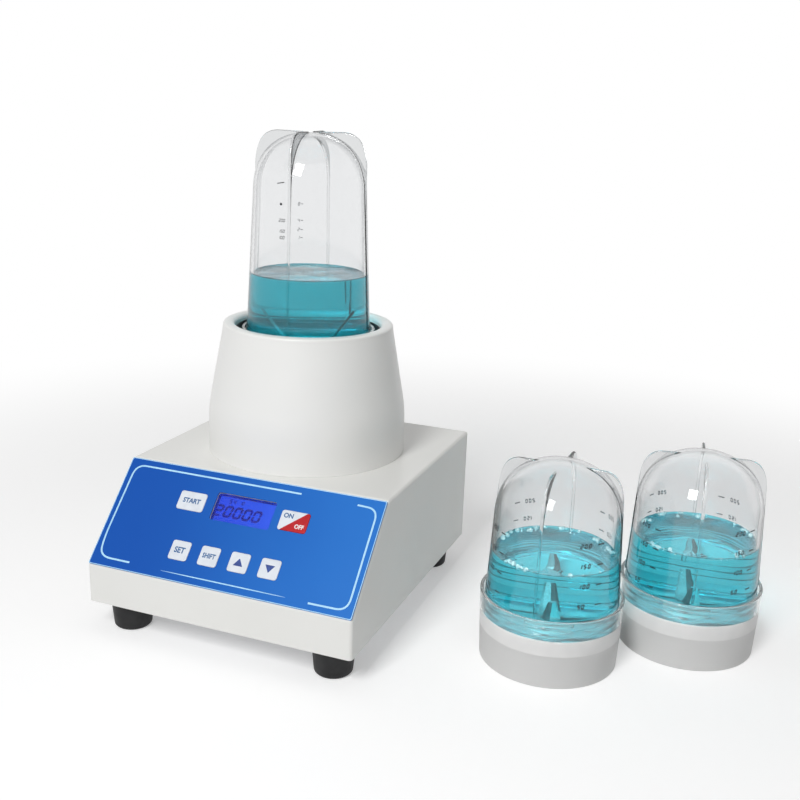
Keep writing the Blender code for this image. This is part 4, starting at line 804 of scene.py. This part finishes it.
lamination.put("Base Color", lamination.mix(layers * 0.5 + 0.5, (0.16, 0.16, 0.18), (0.30, 0.30, 0.32)))
lamination.bump(layers, 0.03 * MM)
copper = Finish("enamelled_copper", (0.60, 0.26, 0.10), 0.35, metallic=1.0)
strands = (copper.axis((0.35, 0.25, 1)) * (2 * math.pi / (0.7 * MM))).wave()
copper.put("Base Color", copper.mix(strands * 0.5 + 0.5, (0.40, 0.15, 0.05), (0.68, 0.31, 0.13)))
copper.bump(strands, 0.1 * MM)
carbon = Finish("brush_carbon", (0.03, 0.03, 0.03), 0.7)
carbon.tone((0.035, 0.035, 0.035), (0.015, 0.015, 0.015), 500)
carbon.grain(3000, 2.0, 0.02 * MM)
bearing_steel = Finish("bearing_steel", (0.62, 0.62, 0.64), 0.2, metallic=1.0)
bearing_steel.gloss(0.14, 0.3, 200)
resin = Finish("green_board", (0.02, 0.19, 0.06), 0.35, coat_weight=0.4, coat_roughness=0.15)
tracks = resin.node("ShaderNodeTexBrick", None, {"Vector": resin.place, "Scale": 260, "Mortar Size": 0.02}, 1)
resin.put("Base Color", resin.mix(tracks, (0.015, 0.15, 0.045), (0.03, 0.27, 0.09)))
resin.bump(tracks, 0.03 * MM)
fan_grey = Finish("grey_nylon", (0.16, 0.16, 0.17), 0.5)
fan_grey.tone((0.17, 0.17, 0.18), (0.12, 0.12, 0.13), 100)
fan_grey.grain(1500, 2.0, 0.02 * MM)
refinished(zinc, "bottom_plate")
refinished(cast, "lower_motor_bracket", "upper_motor_bracket")
refinished(lamination, "motor_stator", "armature")
refinished(copper, "lower_field_winding", "upper_field_winding", "commutator")
refinished(carbon, "carbon_brush_left", "carbon_brush_right")
refinished(bearing_steel, "lower_bearing", "upper_bearing")
refinished(resin, "control_board", "speed_board")
refinished(fan_grey, "cooling_fan")
refinished(screw_steel, *("collar_screw_" + corner for corner in CORNERS))


# Couplings
# The motor drives a cup through a six-pointed star of white nylon on its shaft, which goes up into
# the star socket under the cup's base.
def star(radius, steps=72):
    """Six rounded points: the radius swings by a raised cosine of six times the angle."""
    angle = np.linspace(0, 2 * np.pi, steps, endpoint=False)
    swing = (0.5 + 0.5 * np.cos(6 * angle)) ** 1.1
    return (radius * (0.72 + 0.28 * swing))[:, None] * np.stack((np.cos(angle), np.sin(angle)), axis=1)


nylon = Finish("white_nylon", (0.78, 0.78, 0.75), 0.45, subsurface_weight=0.1, subsurface_scale=0.002)
nylon.tone((0.80, 0.80, 0.77), (0.72, 0.72, 0.69), 150)
nylon.gloss(0.36, 0.55, 300)
nylon.grain(2000, 2.0, 0.01 * MM)
axle = Matrix.Translation((*TOWER, 0))
hub = [placed(circle(radius * MM, 72), height * MM, axle) for radius, height in
       ((10.4, 146.8), (11, 147.4), (11, 157.2), (10.4, 157.8))]
points = [placed(star(radius * MM), height * MM, axle) for radius, height in
          ((8.4, 157.8), (8.4, 165.5), (7.9, 166.3))]
drive = skin("drive_star", np.stack(hub + points), caps=(True, True), sharp=30)
dressed(drive, nylon, "rotor", "nylon", "drive_coupling")


# Mains inlet
# A black three-pin inlet for a plug-in cord, flanged over its hole in the back wall and held by two
# screws, with nickel-plated pins in its socket.
def inlet_shape(width, height, chamfer, corner):
    x, y, low, narrow = width / 2, height / 2, height / 2 - chamfer, width / 2 - chamfer
    return eased(((-x, -y), (x, -y), (x, low), (narrow, y), (-narrow, y), (-x, low)), corner)


inlet = prism("inlet_body", inlet_shape(27, 20, 4, 1) * MM, -22 * MM, 0.9 * MM, inlet_face)
flange = flat_piece("inlet_flange", [rounded(48, 24, 4) * MM], 0.3 * MM, 2 * MM, inlet_face, 0.4 * MM)
carved(inlet, [flange], "UNION")
socket_hole = prism("inlet_socket", inlet_shape(23, 16, 3.5, 0.8) * MM, -15 * MM, 3 * MM, inlet_face)
carved(inlet, [socket_hole])
inlet_black = Finish("black_moulding", (0.022, 0.022, 0.024), 0.4)
inlet_black.tone((0.026, 0.026, 0.028), (0.014, 0.014, 0.016), 80)
inlet_black.gloss(0.32, 0.52, 150)
inlet_black.grain(1500, 3.0, 0.02 * MM)
dressed(inlet, inlet_black, "machine", "dark_plastic", "mains_inlet")
for i, (x, y) in enumerate(((-7, 0), (0, 2), (7, 0))):
    rows = [placed(rounded(w, h, 0.3, (x, y)) * MM, z * MM, inlet_face) for w, h, z in
            ((2, 4, -15.2), (2, 4, -5), (1.8, 3.8, -4.4), (1.1, 3.1, -4))]
    pin = skin(f"inlet_pin_{i + 1}", np.stack(rows), caps=(True, True))
    dressed(pin, bearing_steel, "machine", "steel")
for i, x in enumerate((-19.5, 19.5)):
    head = [placed(circle(radius * MM, 32), height * MM, inlet_face @ Matrix.Translation((x * MM, 0, 0)))
            for radius, height in ((2.7, 1.6), (2.8, 2.2), (2.4, 2.9), (1.6, 3.3))]
    head = skin(f"inlet_screw_{i + 1}", np.stack(head), caps=(True, True))
    cross_recess(head, 2.8 * MM, 0.6 * MM, 2.3 * MM, 4 * MM, inlet_face, (x * MM, 0))
    dressed(head, screw_steel, "machine", "steel")


# Blade bases
# Each base is moulded in one piece: a frosted skirt, a milky floor and a clear ring that takes the
# cup's thread. A boss in the middle of the floor carries the blade's shaft.
SEAT_FLOOR = 155 * MM
SETS = {
    "tall": ("tall_cup", (*TOWER, SEAT_FLOOR)),
    "spare_a": ("spare_cup_a", (84.55 * MM, -13.0 * MM, 0.0)),
    "spare_b": ("spare_cup_b", (170.05 * MM, 50.5 * MM, 0.0)),
}
frosted = Finish("frosted_plastic", (0.73, 0.73, 0.725), 0.42, transmission_weight=0.3, ior=1.45)
frosted.gloss(0.34, 0.5, 60)
frosted.grain(700, 3.0, 0.03 * MM)
lets_light_through(frosted, (0.6, 0.6, 0.6))
milky = Finish("milky_plastic", (0.92, 0.92, 0.915), 0.38, transmission_weight=0.12, ior=1.45)
milky.tone((0.86, 0.855, 0.85), (0.81, 0.81, 0.805), 60)
milky.gloss(0.3, 0.46, 60)
lets_light_through(milky, (0.5, 0.5, 0.5))
clear_ring = Finish("clear_plastic_ring", (0.97, 0.98, 0.98), 0.04, transmission_weight=0.92, ior=1.33)
clear_ring.gloss(0.02, 0.07, 40)
lets_light_through(clear_ring, (0.95, 0.96, 0.96))
base_profile = eased(
    (
        (3.8, 18.1), (12, 18.1), (12, 24.5), (45.7, 24.5), (44.7, 0), (47.1, 0), (48.06, 23.5), (48.4, 34),
        (49, 48), (46.6, 48), (46.6, 34), (46.6, 27), (12, 27), (12, 31), (3.8, 31),
    ),
    (0.3, 0.6, 0.8, 1, 0.3, 0.6, 0, 0, 0.9, 0.6, 0, 0.8, 0.8, 0.8, 0.3),
    steps=5,
)
SKIRT_TOP, RING_FOOT, RING_INSIDE = 23.6 * MM, 34 * MM, 46 * MM
for prefix, (node, place) in SETS.items():
    base = turned(node + "_ring", base_profile * MM, place, 128, sharp=40)
    x, y, height = (read(base.data.polygons, "center", 3) - place).T
    clear_part = (np.hypot(x, y) > RING_INSIDE) & (height > RING_FOOT)
    parts = (height > SKIRT_TOP).astype(np.int32) + clear_part
    base.data.polygons.foreach_set("material_index", parts)
    dressed(base, (frosted, milky, clear_ring), prefix + "_base", "frosted_plastic", node + "_blade_base")


# Sockets under the bases
# The nylon socket on the lower end of each blade's shaft, with its star-shaped hole open below.
socket_profile = eased(((0, 5), (12.5, 5), (12.5, 17.5), (0, 17.5)), (0, 0.7, 0.9, 0))
for prefix, (node, place) in SETS.items():
    socket = turned(node + "_socket", socket_profile * MM, place, 64, closed=False)
    spot = Matrix.Translation(place)
    hollow = prism("socket_star", star(9.0 * MM), 4 * MM, 14.5 * MM, spot)
    bore = prism("socket_bore", circle(3.8 * MM, 32), 14 * MM, 18.5 * MM, spot)
    carved(socket, [hollow, bore])
    dressed(socket, nylon, prefix + "_blade", "nylon", node + "_coupling")


# Seal rings
# Soft white silicone rings that lie on the base's floor, under the cup's lip.
silicone = Finish("white_silicone", (0.86, 0.86, 0.85), 0.5, subsurface_weight=0.2, subsurface_scale=0.002)
silicone.tone((0.88, 0.88, 0.87), (0.82, 0.82, 0.81), 80)
silicone.gloss(0.42, 0.58, 120)
silicone.grain(1500, 2.0, 0.01 * MM)
ring_profile = eased(((42.4, 27.3), (46, 27.3), (46, 29.3), (42.4, 29.3)), 0.7)
for prefix, (node, place) in SETS.items():
    ring = turned(node + "_gasket", ring_profile * MM, place, 128)
    dressed(ring, silicone, prefix + "_seal", "silicone", node + "_seal_ring")


# Cups
# Clear moulded cups, used upside down: a threaded neck below, a slightly tapered body and a domed
# top, with four thin fins that run beside the wall and turn square over the dome.
CUP_WALL, DOME, DOME_POWER = 2.2, 42.4, 2.3
BODY_FOOT, BODY_RADIUS, DRAFT = 48, 45.3, 0.048
NECK_RADIUS, LIP, LIP_RADIUS = 44.9, 29.6, 42.7
PITCH, RIDGE, THREAD_FOOT, THREAD_TOP, RUN_OUT = 5, 0.9, 35, 46.4, 1.2
FIN_FOOT, FIN_ROOT = 48.8, CUP_WALL / 2
HEIGHTS = {"tall": 187.3, "spare_a": 141.3, "spare_b": 141.3}
FIN_BEARINGS = {"tall": 6.0, "spare_a": -2.0, "spare_b": 7.5}
# How far the fins' upper edge stands over the dome's top, outside and inside, the radius where that
# edge ends, how far their outer edge stands off the wall, and the radius of their upper corner.
FINS = {
    "tall": (1.1, 0.6, 6.0, 1.2, 25),
    "spare_a": (-2, -2, 12.5, -1.2, 21),
    "spare_b": (-2, -2, 12.5, -1.2, 21),
}


def cup_radius(height):
    return BODY_RADIUS - DRAFT * (height - BODY_FOOT)


def dome_curve(inset, height, steps=26):
    """The dome's outline drawn in by an inset: a superellipse from its foot to its apex, with points
    closer-set towards the apex."""
    angle = np.linspace(0, np.pi / 2, steps)
    out, up = np.cos(angle) ** (2 / DOME_POWER), np.sin(angle) ** (2 / DOME_POWER)
    out[-1] = 0
    radius, rise = cup_radius(height - DOME) - inset, DOME - inset
    return np.column_stack((radius * out, height - DOME + rise * up))


def cup_shell(name, height, place):
    """The cup's wall as one surface from the inner apex down to the lip and up to the outer apex. The
    neck's radius grows by a thread whose height follows the angle: one pitch in each turn."""
    inner, outer = dome_curve(CUP_WALL, height)[::-1], dome_curve(0, height)
    lip = ((LIP_RADIUS, 36), (LIP_RADIUS, LIP), (NECK_RADIUS, LIP), (NECK_RADIUS, 36))
    lip = eased(lip, (0, 0.5, 0.5, 0), closed=False, steps=5)[:-1]
    neck = np.column_stack((np.full(52, NECK_RADIUS), np.linspace(31, 47.2, 52)))
    shoulder = ((NECK_RADIUS, 47.2), (NECK_RADIUS, 47.9), (BODY_RADIUS, 48.3), (cup_radius(60), 60))
    shoulder = eased(shoulder, (0, 0.3, 0.4, 0), closed=False, steps=4)[1:]
    profile = np.concatenate((inner, lip, neck, shoulder, outer))
    steps = 144
    angle = np.linspace(0, 2 * np.pi, steps, endpoint=False)
    radius = np.repeat(profile[:, :1], steps, axis=1)
    level = neck[:, 1:]
    phase = ((level - PITCH * angle / (2 * np.pi) - 35.5) / PITCH) % 1
    ridge = np.clip(1 - np.abs(phase - 0.5) * 5, 0, 1) ** 0.7
    ends = np.clip((level - THREAD_FOOT) / RUN_OUT, 0, 1) * np.clip((THREAD_TOP - level) / RUN_OUT, 0, 1)
    first = len(inner) + len(lip)
    radius[first:first + len(neck)] += RIDGE * ridge * ends
    return skin(name, about(place, radius * MM, angle, profile[:, 1:] * MM + place[2]), sharp=50)


def spread(line, count=90):
    """The line again, with its points an even distance apart."""
    steps = np.concatenate(((0,), np.cumsum(np.linalg.norm(np.diff(line, axis=0), axis=1))))
    even = np.linspace(0, steps[-1], count)
    return np.column_stack((np.interp(even, steps, line[:, 0]), np.interp(even, steps, line[:, 1])))


def faced(x, y, z, bearing, place):
    """Points in millimetres, turned to a bearing about the upright axis and moved to a place."""
    turn = math.radians(bearing)
    east = place[0] + MM * (x * math.cos(turn) - y * math.sin(turn))
    north = place[1] + MM * (x * math.sin(turn) + y * math.cos(turn))
    return np.stack((east, north, place[2] + MM * z), axis=-1)


def fin(name, prefix, height, bearing, place):
    """A blade-shaped section carried up the wall and in over the dome, at a bearing from the axis. At
    each step it reaches from inside the wall to the fin's outer line, where it is rounded."""
    crest, inner_crest, end, lean, cut = FINS[prefix]
    knee, stand = height - DOME, 0.8
    corners = (
        (cup_radius(FIN_FOOT) + stand, FIN_FOOT), (cup_radius(knee - 12) + stand, knee - 12),
        (cup_radius(knee) + lean, height + crest), (end, height + inner_crest),
    )
    outer = spread(eased(corners, (0, 16, cut, 0), closed=False, steps=26))
    levels = np.linspace(FIN_FOOT, knee, 40)
    wall = np.column_stack((cup_radius(levels) - FIN_ROOT, levels))
    inner = np.concatenate((wall, dome_curve(FIN_ROOT, height, 90)[1:]))
    inner = spread(inner[inner[:, 0] > end])
    out = outer - inner
    out /= np.linalg.norm(out, axis=1, keepdims=True)
    section = ((-1.2, -1.0), (-0.4, -0.8), (0, 0), (-0.4, 0.8), (-1.2, 1.0))
    lines = [(inner, -1.1), *((outer + out * back, y) for back, y in section), (inner, 1.1)]
    rows = np.stack([faced(line[:, 0], y, line[:, 1], bearing, place) for line, y in lines], axis=1)
    made = skin(name, rows, caps=(True, True), sharp=50)
    made.data.polygons.foreach_set("material_index", np.ones(len(made.data.polygons), np.int32))
    return made


def clear_plastic(name, face, edge, start):
    """Clear plastic whose colour is darkened where the eye grazes it: painted shade at its outlines and along
    its fins.
    """
    made = Finish(name, face, 0.03, transmission_weight=1.0, ior=1.46, specular_ior_level=0.25)
    grazing_painted_shade = made.node("ShaderNodeLayerWeight", None, {"Blend": 0.5}, "Facing").rise(start, 0.98)
    made.put("Base Color", made.mix(grazing_painted_shade, face, edge))
    made.gloss(0.01, 0.05, 30)
    lets_light_through(made, (0.965, 0.97, 0.97))
    return made


# Painted shade: each cup and its fins take the darker edge colour where they are seen edge-on, and the tall
# cup's fins are painted darker all over, as shade along its ribs.
clear = clear_plastic("clear_cup", (0.90, 0.905, 0.91), (0.10, 0.115, 0.13), 0.54)
clear_fins = {
    "tall": clear_plastic("tall_fin", (0.74, 0.75, 0.755), (0.05, 0.06, 0.07), 0.36),
    "spare_a": clear_plastic("spare_fin", (0.82, 0.83, 0.835), (0.52, 0.54, 0.56), 0.5),
}
clear_fins["spare_b"] = clear_fins["spare_a"]
for prefix, (node, place) in SETS.items():
    height = HEIGHTS[prefix]
    cup = cup_shell(node + "_beaker", height, place)
    fins = [fin(f"fin_{i}", prefix, height, FIN_BEARINGS[prefix] + 90 * i, place) for i in range(4)]
    carved(cup, fins, "UNION", sharp=50)
    dressed(cup, (clear, clear_fins[prefix]), prefix + "_vessel", "clear_plastic", node)


# Graduations
# Marks and numbers printed in dark ink on the outside of the cups, in columns beside the fins.
def figures_at(text, x, y, height, weight=0.45):
    width = height * 0.55
    pitch = width + weight * 1.8
    return figure_strokes(text, x, y, width, height, pitch, weight)


def bar_at(x, y, width, height, lean=0.0):
    corners = np.array(((0, 0), (width, lean), (width, lean + height), (0, height))) + (x, y)
    return eased(corners, min(height, width) * 0.3) * MM


def column(name, outlines, prefix, bearing, finish):
    """Lays a flat print on a cup: across becomes an angle about the axis, up stays up, and the height
    over the sheet is added to the cup's radius there."""
    place = SETS[prefix][1]
    piece = film(name, outlines, MARK_BACK, MARK_FACE, Matrix())
    across, up, over = read(piece.data.vertices, "co", 3).T
    radius = cup_radius(up / MM) * MM + over
    angle = math.radians(bearing) - math.pi / 2 + across / radius
    piece.data.vertices.foreach_set("co", about(place, radius, angle, up + place[2]).ravel())
    dressed(settle(name, piece.data, 30), finish, prefix + "_vessel", "clear_plastic")


MARK_BACK, MARK_FACE = 0.01 * MM, 0.04 * MM
mark_ink = Finish("dark_marks", (0.03, 0.035, 0.04), 0.5)
mark_ink.tone((0.035, 0.04, 0.045), (0.015, 0.018, 0.02), 500)
faint_ink = Finish("worn_marks", (0.12, 0.13, 0.14), 0.5)
faint_ink.tone((0.15, 0.16, 0.17), (0.08, 0.09, 0.1), 500)
left = [bar_at(-4.6, 153.4, 5.6, 0.6, 1.0), bar_at(-1.9, 139.2, 1.7, 1.7)]
for text, height in (("200", 128.2), ("150", 121.0), ("100", 116.6)):
    left += figures_at(text, -2.4, height, 1.9, 0.35)
column("tall_marks_left", left, "tall", -1.5, mark_ink)
right = []
for text, height in (("8", 140.0), ("4", 129.0), ("2", 122.8), ("1", 117.4)):
    right += figures_at(text, -0.8, height, 2.0, 0.35) + [bar_at(1.2, height + 0.8, 1.6, 0.45)]
column("tall_marks_right", right, "tall", 15.5, faint_ink)
# The bearing, upper mark and ink of each column.
COLUMNS = {
    "spare_a": ((-49, 96.5, mark_ink), (45, 98.5, mark_ink), (136, 97, faint_ink), (228, 97.5, faint_ink)),
    "spare_b": ((-39, 93.5, mark_ink), (52, 98, mark_ink), (155, 97, faint_ink), (232, 97, faint_ink)),
}
MARK_STEP = 13.7
for prefix, columns in COLUMNS.items():
    for i, (bearing, top_mark, finish) in enumerate(columns):
        marks = []
        for j, text in enumerate(("200", "150", "100", "50")):
            level = top_mark - MARK_STEP * j
            marks += figures_at(text, -9.4, level - 1.2, 2.6, 0.85) + [bar_at(3.4, level - 0.3, 5.0, 0.9)]
        column(f"{prefix}_marks_{i + 1}", marks, prefix, bearing, finish)


# Sample liquid
# Teal water in each cup, with a meniscus where it climbs the wall and a slightly rippled surface.
LEVELS = {"tall": 87.4, "spare_a": 77.0, "spare_b": 80.0}
FROTH = {"tall": 0.3, "spare_a": 0.5, "spare_b": 0.5}
MENISCUS, WETTING = 1.1, 0.35


def liquid_body(name, prefix, place):
    """Turned body from the floor up the inside of the wall, with a surface that rises towards the
    wall by a decaying curve, is rippled by two crossing waves, and is broken near the wall by finer
    ones, where bubbles of froth stand."""
    knee, level = HEIGHTS[prefix] - DOME, LEVELS[prefix]
    slope = (cup_radius(knee) - CUP_WALL - LIP_RADIUS) / (knee - 36)

    def wall(height):
        return LIP_RADIUS + slope * np.maximum(height - 36, 0) + WETTING

    side = np.linspace(LIP, level + MENISCUS, 12)
    bottom = np.array(((0, 27.35), (39, 27.35), (39.1, 29.8), (42.8, 29.9)))
    side = np.column_stack((wall(side), side))[1:]
    edge = wall(level + MENISCUS)
    inward = np.concatenate((np.linspace(0, 16, 27), np.linspace(17.5, edge - 0.001, 16)))
    surface = np.column_stack((edge - inward, level + MENISCUS * np.exp(-inward / MENISCUS)))[1:]
    profile = np.concatenate((bottom, side, surface))
    angle = np.linspace(0, 2 * np.pi, 216, endpoint=False)
    radius = profile[:, :1]
    x, y = radius * np.cos(angle), radius * np.sin(angle)
    ripple = 0.16 * np.sin(x / 4.1 + 1.3 * np.sin(y / 9)) * np.cos(y / 5.3 + 0.4)
    froth = FROTH[prefix] * np.sin(x / 0.9 + 2 * np.sin(y / 2.3)) * np.cos(y / 1.1 + 2 * np.sin(x / 2.9))
    patches = 0.55 + 0.45 * np.sin(3 * angle + 1.2 * np.sin(5 * angle))
    froth *= np.clip((radius - edge + 13) / 9, 0, 1) * patches
    calm = np.clip((edge - radius) / 2, 0, 1)
    z = profile[:, 1:] + np.where(profile[:, 1:] > level - 1, (ripple + froth) * calm, 0)
    return skin(name, about(place, radius * MM, angle, place[2] + z * MM), sharp=60)


def teal(name, tint, surface, ring_top):
    """Tinted water with painted light and shade: paler just under its surface at a height, as a painted
    highlight, lighter in a painted light band over the base's ring, and a painted shade colour behind the
    ring."""
    water = Finish(name, tint, 0.02, transmission_weight=0.92, ior=1.33, specular_ior_level=0.3)
    # Painted highlight under the surface, painted light band over the ring and painted shade behind the ring.
    near = (water.axis((0, 0, 1)) - surface).rise(-0.6 * MM, -0.1 * MM)
    painted_highlight_tint = tuple(0.12 + 0.88 * value for value in tint)
    level = water.axis((0, 0, 1)) - ring_top
    painted_light_band = level.rise(-1 * MM, 0.5 * MM) * (1 - level.rise(5 * MM, 9 * MM))
    painted_shade_share = 1 - level.rise(-2 * MM, 0)
    painted_light_and_shade = water.mix(painted_light_band, tint, tuple(2.1 * value for value in tint))
    painted_light_and_shade = water.mix(painted_shade_share, painted_light_and_shade, (0.3 * tint[0], 1.5 * tint[1], 1.5 * tint[2]))
    water.put("Base Color", water.mix(near, painted_light_and_shade, painted_highlight_tint))
    water.gloss(0.0, 0.03, 50)
    lets_light_through(water, (0.76, 0.84, 0.85))
    return water


TINTS = {"tall": (0.025, 0.42, 0.51), "spare_a": (0.08, 0.67, 0.785), "spare_b": (0.08, 0.67, 0.785)}
RING_TOPS = {"tall": 48, "spare_a": 20, "spare_b": 20}
for prefix, (node, place) in SETS.items():
    sample = liquid_body(node + "_sample", prefix, place)
    heights = place[2] + LEVELS[prefix] * MM, place[2] + RING_TOPS[prefix] * MM
    water = teal(prefix + "_teal", TINTS[prefix], *heights)
    dressed(sample, water, prefix + "_vessel", "sample_liquid", node + "_liquid")


# Froth
# Small bubbles that cling to the wall of each spare cup where the shaken water meets it.
def beads(name, centres, radii, steps=10):
    """Closed balls: each is a grid of (sin u cos v, sin u sin v, cos u) times its radius."""
    u, v = np.linspace(0, np.pi, steps), np.linspace(0, 2 * np.pi, steps, endpoint=False)
    ball = np.stack((np.sin(u)[:, None] * np.cos(v), np.sin(u)[:, None] * np.sin(v),
                     np.broadcast_to(np.cos(u)[:, None], (steps, steps))), axis=-1)
    points = centres[:, None, None, :] + radii[:, None, None, None] * ball
    index = np.arange(points.size // 3).reshape(points.shape[:3])
    beside = np.roll(index, -1, axis=2)
    quads = np.stack((index[:, :-1], beside[:, :-1], beside[:, 1:], index[:, 1:]), axis=-1)
    mesh = bpy.data.meshes.new(name)
    mesh.from_pydata(points.reshape(-1, 3), [], quads.reshape(-1, 4).tolist())
    return settle(name, mesh, 60)


froth_skin = Finish("froth", (0.72, 0.94, 0.96), 0.06, transmission_weight=0.62, ior=1.22)
froth_skin.gloss(0.03, 0.1, 300)
lets_light_through(froth_skin, (0.9, 0.95, 0.96))
for prefix, seed, count in (("spare_a", 4, 84), ("spare_b", 9, 70)):
    node, place = SETS[prefix]
    draw = np.random.default_rng(seed)
    radii = draw.uniform(0.4, 1.0, count) ** 2 * 1.8
    angle = draw.choice((0.35, 0.9, 1.5, 2.2, 2.9, 4.2, 5.6), count) + draw.normal(0, 0.16, count)
    reach = 42.4 - radii - draw.exponential(1.8, count)
    spots = about(place, reach * MM, angle, place[2] + (LEVELS[prefix] + 0.35 * radii) * MM)
    froth = beads(node + "_froth", spots, radii * MM)
    dressed(froth, froth_skin, prefix + "_vessel", "sample_liquid")


# Blades
# Stainless blades on a shaft through the base: two arms swept up and two flat ones across them.
# On each, the trailing half of its faces is painted near-black as shade, and the leading half is bright
# ground steel.
# How far the bent arms reach out and up, and their bearing.
BLADES = {"tall": (26, 27, 22), "spare_a": (19, 17, -76), "spare_b": (19, 17, -78)}
HALF_THICKNESS, BEND, FLAT_REACH, TIP = 0.7, 9, 30, 4.8
BENT_LEVEL, FLAT_LEVEL = 34.66, 33.54
BENT_WIDTH, FLAT_WIDTH = 10.4, 13


def blade_bar(name, path, widths, bearing, place):
    """A ground section, thick in the middle and thin at both edges, carried along a path in the
    upright plane through the axis and turned to its bearing."""
    path = np.asarray(path, float)
    along = np.gradient(path, axis=0)
    along /= np.linalg.norm(along, axis=1, keepdims=True)
    normal = np.column_stack((-along[:, 1], along[:, 0]))
    share = np.array((-0.5, -0.36, -0.05, 0.36, 0.5, 0.36, -0.05, -0.36))
    side = HALF_THICKNESS * np.array((0, 1, 1, 1, 0, -1, -1, -1))
    x, z = np.moveaxis(path[:, None, :] + normal[:, None, :] * side[:, None], 2, 0)
    rows = faced(x, widths[:, None] * share, z, bearing, place)
    made = skin(name, rows, caps=(True, True), sharp=18)
    # Painted shade: the faces of each section's trailing half take the near-black steel.
    painted_shade_faces = np.tile((1, 1, 0, 0, 0, 0, 1, 1), len(rows) - 1).tolist() + [0, 0]
    made.data.polygons.foreach_set("material_index", painted_shade_faces)
    return made


# Near-black steel that paints shade on the blades' trailing halves.
painted_shade_steel = Finish("steel_painted_dark", (0.09, 0.095, 0.10), 0.4, metallic=1.0)
painted_shade_steel.tone((0.11, 0.115, 0.12), (0.05, 0.055, 0.06), 200)
painted_shade_steel.gloss(0.3, 0.5, 300)
blade_steel = Finish("ground_steel", (0.78, 0.79, 0.80), 0.22, metallic=1.0)
grinding = blade_steel.noise(1, 2.0, (3200, 500, 900))
blade_steel.put("Roughness", grinding * 0.25 + 0.12)
blade_steel.bump(grinding, 0.01 * MM)
hub_profile = eased(
    ((0, 14.8), (3.5, 14.8), (3.5, 31.6), (7, 31.6), (7, 36.6), (0, 36.6)), (0, 0.4, 0.2, 0.6, 1.2, 0)
)
flat = np.column_stack((np.linspace(0, FLAT_REACH, 9), np.full(9, FLAT_LEVEL)))
flat_widths = np.linspace(FLAT_WIDTH, TIP, 9)
for prefix, (reach, rise, bearing) in BLADES.items():
    node, place = SETS[prefix]
    blade = turned(node + "_knife", hub_profile * MM, place, 48, closed=False, sharp=30)
    bent = ((0, BENT_LEVEL), (BEND, BENT_LEVEL), (reach, BENT_LEVEL + rise))
    bent = eased(bent, (0, 5, 0), closed=False, steps=8)
    root, tip = np.linspace(bent[0], bent[1], 4)[:-1], np.linspace(bent[-2], bent[-1], 6)[1:]
    bent = np.concatenate((root, bent[1:-1], tip))
    widths = BENT_WIDTH - (BENT_WIDTH - TIP) * np.clip((bent[:, 0] - BEND) / (reach - BEND), 0, 1)
    bars = []
    for i in range(2):
        bars.append(blade_bar(f"arm_{i}", bent, widths, bearing + 180 * i, place))
        bars.append(blade_bar(f"flat_{i}", flat, flat_widths, bearing + 90 + 180 * i, place))
    carved(blade, bars, "UNION", sharp=18)
    dressed(blade, (blade_steel, painted_shade_steel), prefix + "_blade", "steel", node + "_blade")
